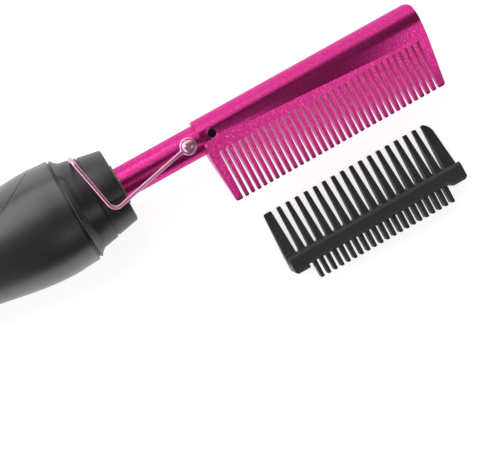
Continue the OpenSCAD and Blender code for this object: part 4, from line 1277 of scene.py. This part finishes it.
class HOTCOMB_OT_guard(Operator):
    """Model the silicone guard with its long prongs, trough, feet and short prongs"""

    bl_idname = "hotcomb.guard"
    bl_label = "Tooth guard"

    back = 7.5
    trough = 3.0
    lip_inner = 3.3
    lip_wall = 1.4
    rib_low = 1.4
    band_low = 2.7
    foot_reach = 4.0
    foot_length = 5.9
    foot_notch = 1.3
    lean = 0.8
    corner = 5.2

    def execute(self, context):
        size = head_sizes()
        low, high = node_low("tooth_guard"), node_high("tooth_guard")
        self.length = high.x - low.x
        self.short_reach = high.y - low.y - size.prong_reach
        body = self.model_body(size)
        cut(body, self.model_gaps(size))
        soften(body, size.guard_edge, 3, 35)
        prongs = self.model_short_prongs(size)
        guard = joined(body, prongs)
        guard.name = "guard_strip"
        floor_y = high.y - size.prong_reach
        guard.data.transform(Matrix.Translation((low.x, floor_y, low.z + self.back)))
        settle(guard, "guard", "silicone", "tooth_guard")
        return {"FINISHED"}

    def seat_half(self, size, v):
        """Half width of the comb's wedge, with its clearance, at v from the trough floor."""
        flank = flank_angle()
        gap = 0.3
        reach = size.tooth_reach + gap - v
        return size.spine_radius / math.cos(flank) - reach * math.tan(flank) + gap / math.cos(flank)

    def model_body(self, size):
        """The strip's section along its length, trimmed to its side outline."""
        out = self.lip_inner + self.lip_wall
        reach = size.prong_reach
        section = [
            (-self.band_low, 2 - self.back), (2 - self.band_low, -self.back), (reach, -self.back),
            (reach, -self.seat_half(size, reach)), (0, -self.seat_half(size, 0)), (0, self.lip_inner),
            (self.trough, self.lip_inner), (self.trough, out - 1), (self.trough - 1, out),
            (-self.rib_low, out), (-self.band_low, out - self.rib_low)]
        body = prism("strip", section, 0, self.length, "x")
        foot = [(-self.foot_reach, 1 - self.back), (1 - self.foot_reach, -self.back), (-0.2, -self.back),
                (-0.2, out), (1 - self.foot_reach, out), (-self.foot_reach, out - 1)]
        far = self.length - self.foot_length
        for start in (0, far):
            combine(body, prism("foot", foot, start, start + self.foot_length, "x"), "UNION")
        top = reach + 0.02
        centre = (self.length - 0.9 * self.lean - self.corner, reach - 4.3)
        foot = 1.4
        low = -self.foot_reach - 0.02
        edge = arc((foot, low + foot), foot, math.pi, 1.5 * math.pi, 6)
        edge += arc((self.length - foot, low + foot), foot, 1.5 * math.pi, FULL_TURN, 6)
        edge += [(self.length, self.trough)]
        edge += arc(centre, self.corner, 0, math.asin((top - centre[1]) / self.corner), 10)
        small = 0.8
        edge += arc((self.lean + small, top - small), small, math.pi / 2, math.pi, 5)
        edge += [(0, self.trough)]
        return combine(body, prism("trim", edge, -self.back - PAST, out + PAST), "INTERSECT")

    def model_gaps(self, size):
        """The gaps between the long prongs, with round bottoms."""
        first = self.length / 2 - (size.gaps - 1) * size.prong_pitch / 2
        root, tip = 0.40 * size.prong_gap, 0.60 * size.prong_gap
        bottom = arc((first, self.trough), root, math.pi, FULL_TURN, 10)
        flare = flared_end(first, tip, size.prong_reach, size.prong_end)
        cutter = prism("gaps", bottom + flare[::-1], -self.back - PAST, 0.3)
        return row_of(cutter, size.gaps, (size.prong_pitch, 0, 0))

    def model_short_prongs(self, size):
        """The row of short prongs under the strip, each a little narrower at its tip."""
        half, deep = size.short_width / 2, 2.4
        first = self.length / 2 - (size.shorts - 1) * size.short_pitch / 2
        reach = self.short_reach
        tip = half * 0.86
        end = 0.35
        side = [(first - half, -self.rib_low)]
        side += arc((first - tip + end, end - reach), end, math.pi, 1.5 * math.pi, 4)
        side += arc((first + tip - end, end - reach), end, 1.5 * math.pi, FULL_TURN, 4)
        side += [(first + half, -self.rib_low)]
        prong = prism("short", side, -deep, deep)
        soften(prong, 0.2, 2, 40)
        return row_of(prong, size.shorts, (size.short_pitch, 0, 0))


# ---------- the frame's own nodes, and the stage ----------


class HOTCOMB_OT_finishes(Operator):
    """Give every construction node the finish of its material slot"""

    bl_idname = "hotcomb.finishes"
    bl_label = "Finishes"

    def execute(self, context):
        for part in frame["record"]["subparts"]:
            node = frame["nodes"][part["node"]]
            for place in node.material_slots:
                place.material = FINISHES[part["material_slot"]]()
        return {"FINISHED"}


class HOTCOMB_OT_stage(Operator):
    """Set up the floor, the camera and the lamps"""

    bl_idname = "hotcomb.stage"
    bl_label = "Stage"

    def execute(self, context):
        stage = context.scene.hot_comb_stage
        context.scene.view_settings.view_transform = "Standard"
        forward, spine = Vector((1, 0, 0)), Vector((0, 1, 0))
        aim = ORIGIN + Vector((stage.aim_along, -stage.aim_below, 0))
        self.add_camera(stage, aim, forward, spine)
        nose = ORIGIN
        self.add_soft_box("grip_box", nose, spine, (18, 76), (-1.0, 0.06), stage.grip_lamp)
        self.add_soft_box("spine_side_box", nose, spine, (46, 88), (0.0, 1.2), stage.spine_lamp)
        self.add_soft_box("teeth_side_box", nose, -spine, (22, 38), (0.05, 1.2), stage.teeth_lamp)
        self.add_soft_box("tail_side_box", nose, -forward, (58, 84), (-0.8, 0.8), stage.tail_lamp)
        self.add_floor()
        self.set_sky(stage)
        return {"FINISHED"}

    def add_camera(self, stage, aim, forward, spine):
        place = ORIGIN + Vector((-stage.eye_behind, stage.eye_above, stage.eye_height))
        back = (place - aim).normalized()
        right = math.cos(stage.rise) * forward - math.sin(stage.rise) * spine
        up = back.cross(right).normalized()
        right = up.cross(back)
        bpy.ops.object.camera_add()
        camera = bpy.context.object
        camera.name = "view"
        turn = Matrix((right, up, back)).transposed().to_4x4()
        camera.matrix_world = Matrix.Translation(place) @ turn
        camera.data.lens = stage.lens
        camera.data.sensor_width = 36
        camera.data.clip_start = 0.01
        bpy.context.scene.camera = camera

    def add_soft_box(self, name, centre, side, tilt, reach, level):
        """A soft box on one side of a centre, between two angles from the vertical and between two
        places along the tool, of a given radiance."""
        near, far = (math.radians(angle) for angle in tilt)
        distance = 0.7
        up = Vector((0, 0, 1))
        outward = math.cos((near + far) / 2) * up + math.sin((near + far) / 2) * side
        along = side.cross(up) if side.y > 0 else up.cross(side)
        turn = Matrix((along, outward.cross(along), outward)).transposed()
        height, long_side = 2 * distance * math.tan((far - near) / 2), reach[1] - reach[0]
        middle = centre + distance * outward + (reach[0] + reach[1]) / 2 * along
        bpy.ops.object.light_add(type="AREA")
        lamp = bpy.context.object
        lamp.name = name
        lamp.matrix_world = Matrix.Translation(middle) @ turn.to_4x4()
        lamp.data.shape = "RECTANGLE"
        lamp.data.size = long_side
        lamp.data.size_y = height
        lamp.data.energy = level * math.pi * long_side * height

    def add_floor(self):
        """A pale floor that camera, mirrors and glass see as white, and that keeps its shadows."""
        bpy.ops.object.select_all(action="DESELECT")
        bpy.ops.mesh.primitive_plane_add(size=6, location=(0, 0, -0.02 * MM))
        floor = bpy.context.object
        floor.name = "floor"
        shader = Shader("pale_floor")
        patches = shader.noise(400, 2)
        tone = shader.blend(patches, solid((0.66, 0.66, 0.66)), solid((0.69, 0.69, 0.69)))
        seen = sum(shader.node("ShaderNodeLightPath", out=name) for name in (
            "Is Camera Ray", "Is Glossy Ray", "Is Transmission Ray"))
        glow = shader.blend(seen, solid((0, 0, 0)), solid((0.76, 0.76, 0.76)))
        floor.data.materials.append(shader.surface(
            Base_Color=tone, Roughness=0.9, Specular_IOR_Level=0.1,
            Emission_Color=glow, Emission_Strength=1.0))

    def set_sky(self, stage):
        world = bpy.data.worlds.new("studio")
        world.use_nodes = True
        sky = world.node_tree.nodes["Background"]
        sky.inputs["Color"].default_value = (1, 1, 1, 1)
        sky.inputs["Strength"].default_value = stage.sky_level
        bpy.context.scene.world = world


# ---------- add-on ----------


OPERATORS = (
    HOTCOMB_OT_finishes,
    HOTCOMB_OT_handle_body,
    HOTCOMB_OT_top_cover,
    HOTCOMB_OT_controls,
    HOTCOMB_OT_collar,
    HOTCOMB_OT_nose,
    HOTCOMB_OT_comb_head,
    HOTCOMB_OT_wire_stand,
    HOTCOMB_OT_stand_screws,
    HOTCOMB_OT_tail,
    HOTCOMB_OT_guard,
    HOTCOMB_OT_stage,
)


class HOTCOMB_PT_panel(Panel):
    """The hot comb's steps in the sidebar"""

    bl_label = "Hot Comb"
    bl_space_type = "VIEW_3D"
    bl_region_type = "UI"
    bl_category = "Hot Comb"

    def draw(self, context):
        for step in OPERATORS:
            self.layout.operator(step.bl_idname)


GROUPS = {
    "hot_comb_grip": HotCombGripSizes,
    "hot_comb_head": HotCombHeadSizes,
    "hot_comb_finishes": HotCombFinishes,
    "hot_comb_stage": HotCombStage,
}


def register():
    for name, group in GROUPS.items():
        bpy.utils.register_class(group)
        setattr(bpy.types.Scene, name, PointerProperty(type=group))
    for step in OPERATORS:
        bpy.utils.register_class(step)
    bpy.utils.register_class(HOTCOMB_PT_panel)


def unregister():
    bpy.utils.unregister_class(HOTCOMB_PT_panel)
    for step in reversed(OPERATORS):
        bpy.utils.unregister_class(step)
    for name, group in GROUPS.items():
        delattr(bpy.types.Scene, name)
        bpy.utils.unregister_class(group)


def main():
    """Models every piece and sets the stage."""
    register()
    for step in OPERATORS:
        group, name = step.bl_idname.split(".")
        getattr(getattr(bpy.ops, group), name)()


if __name__ == "__main__":
    main()
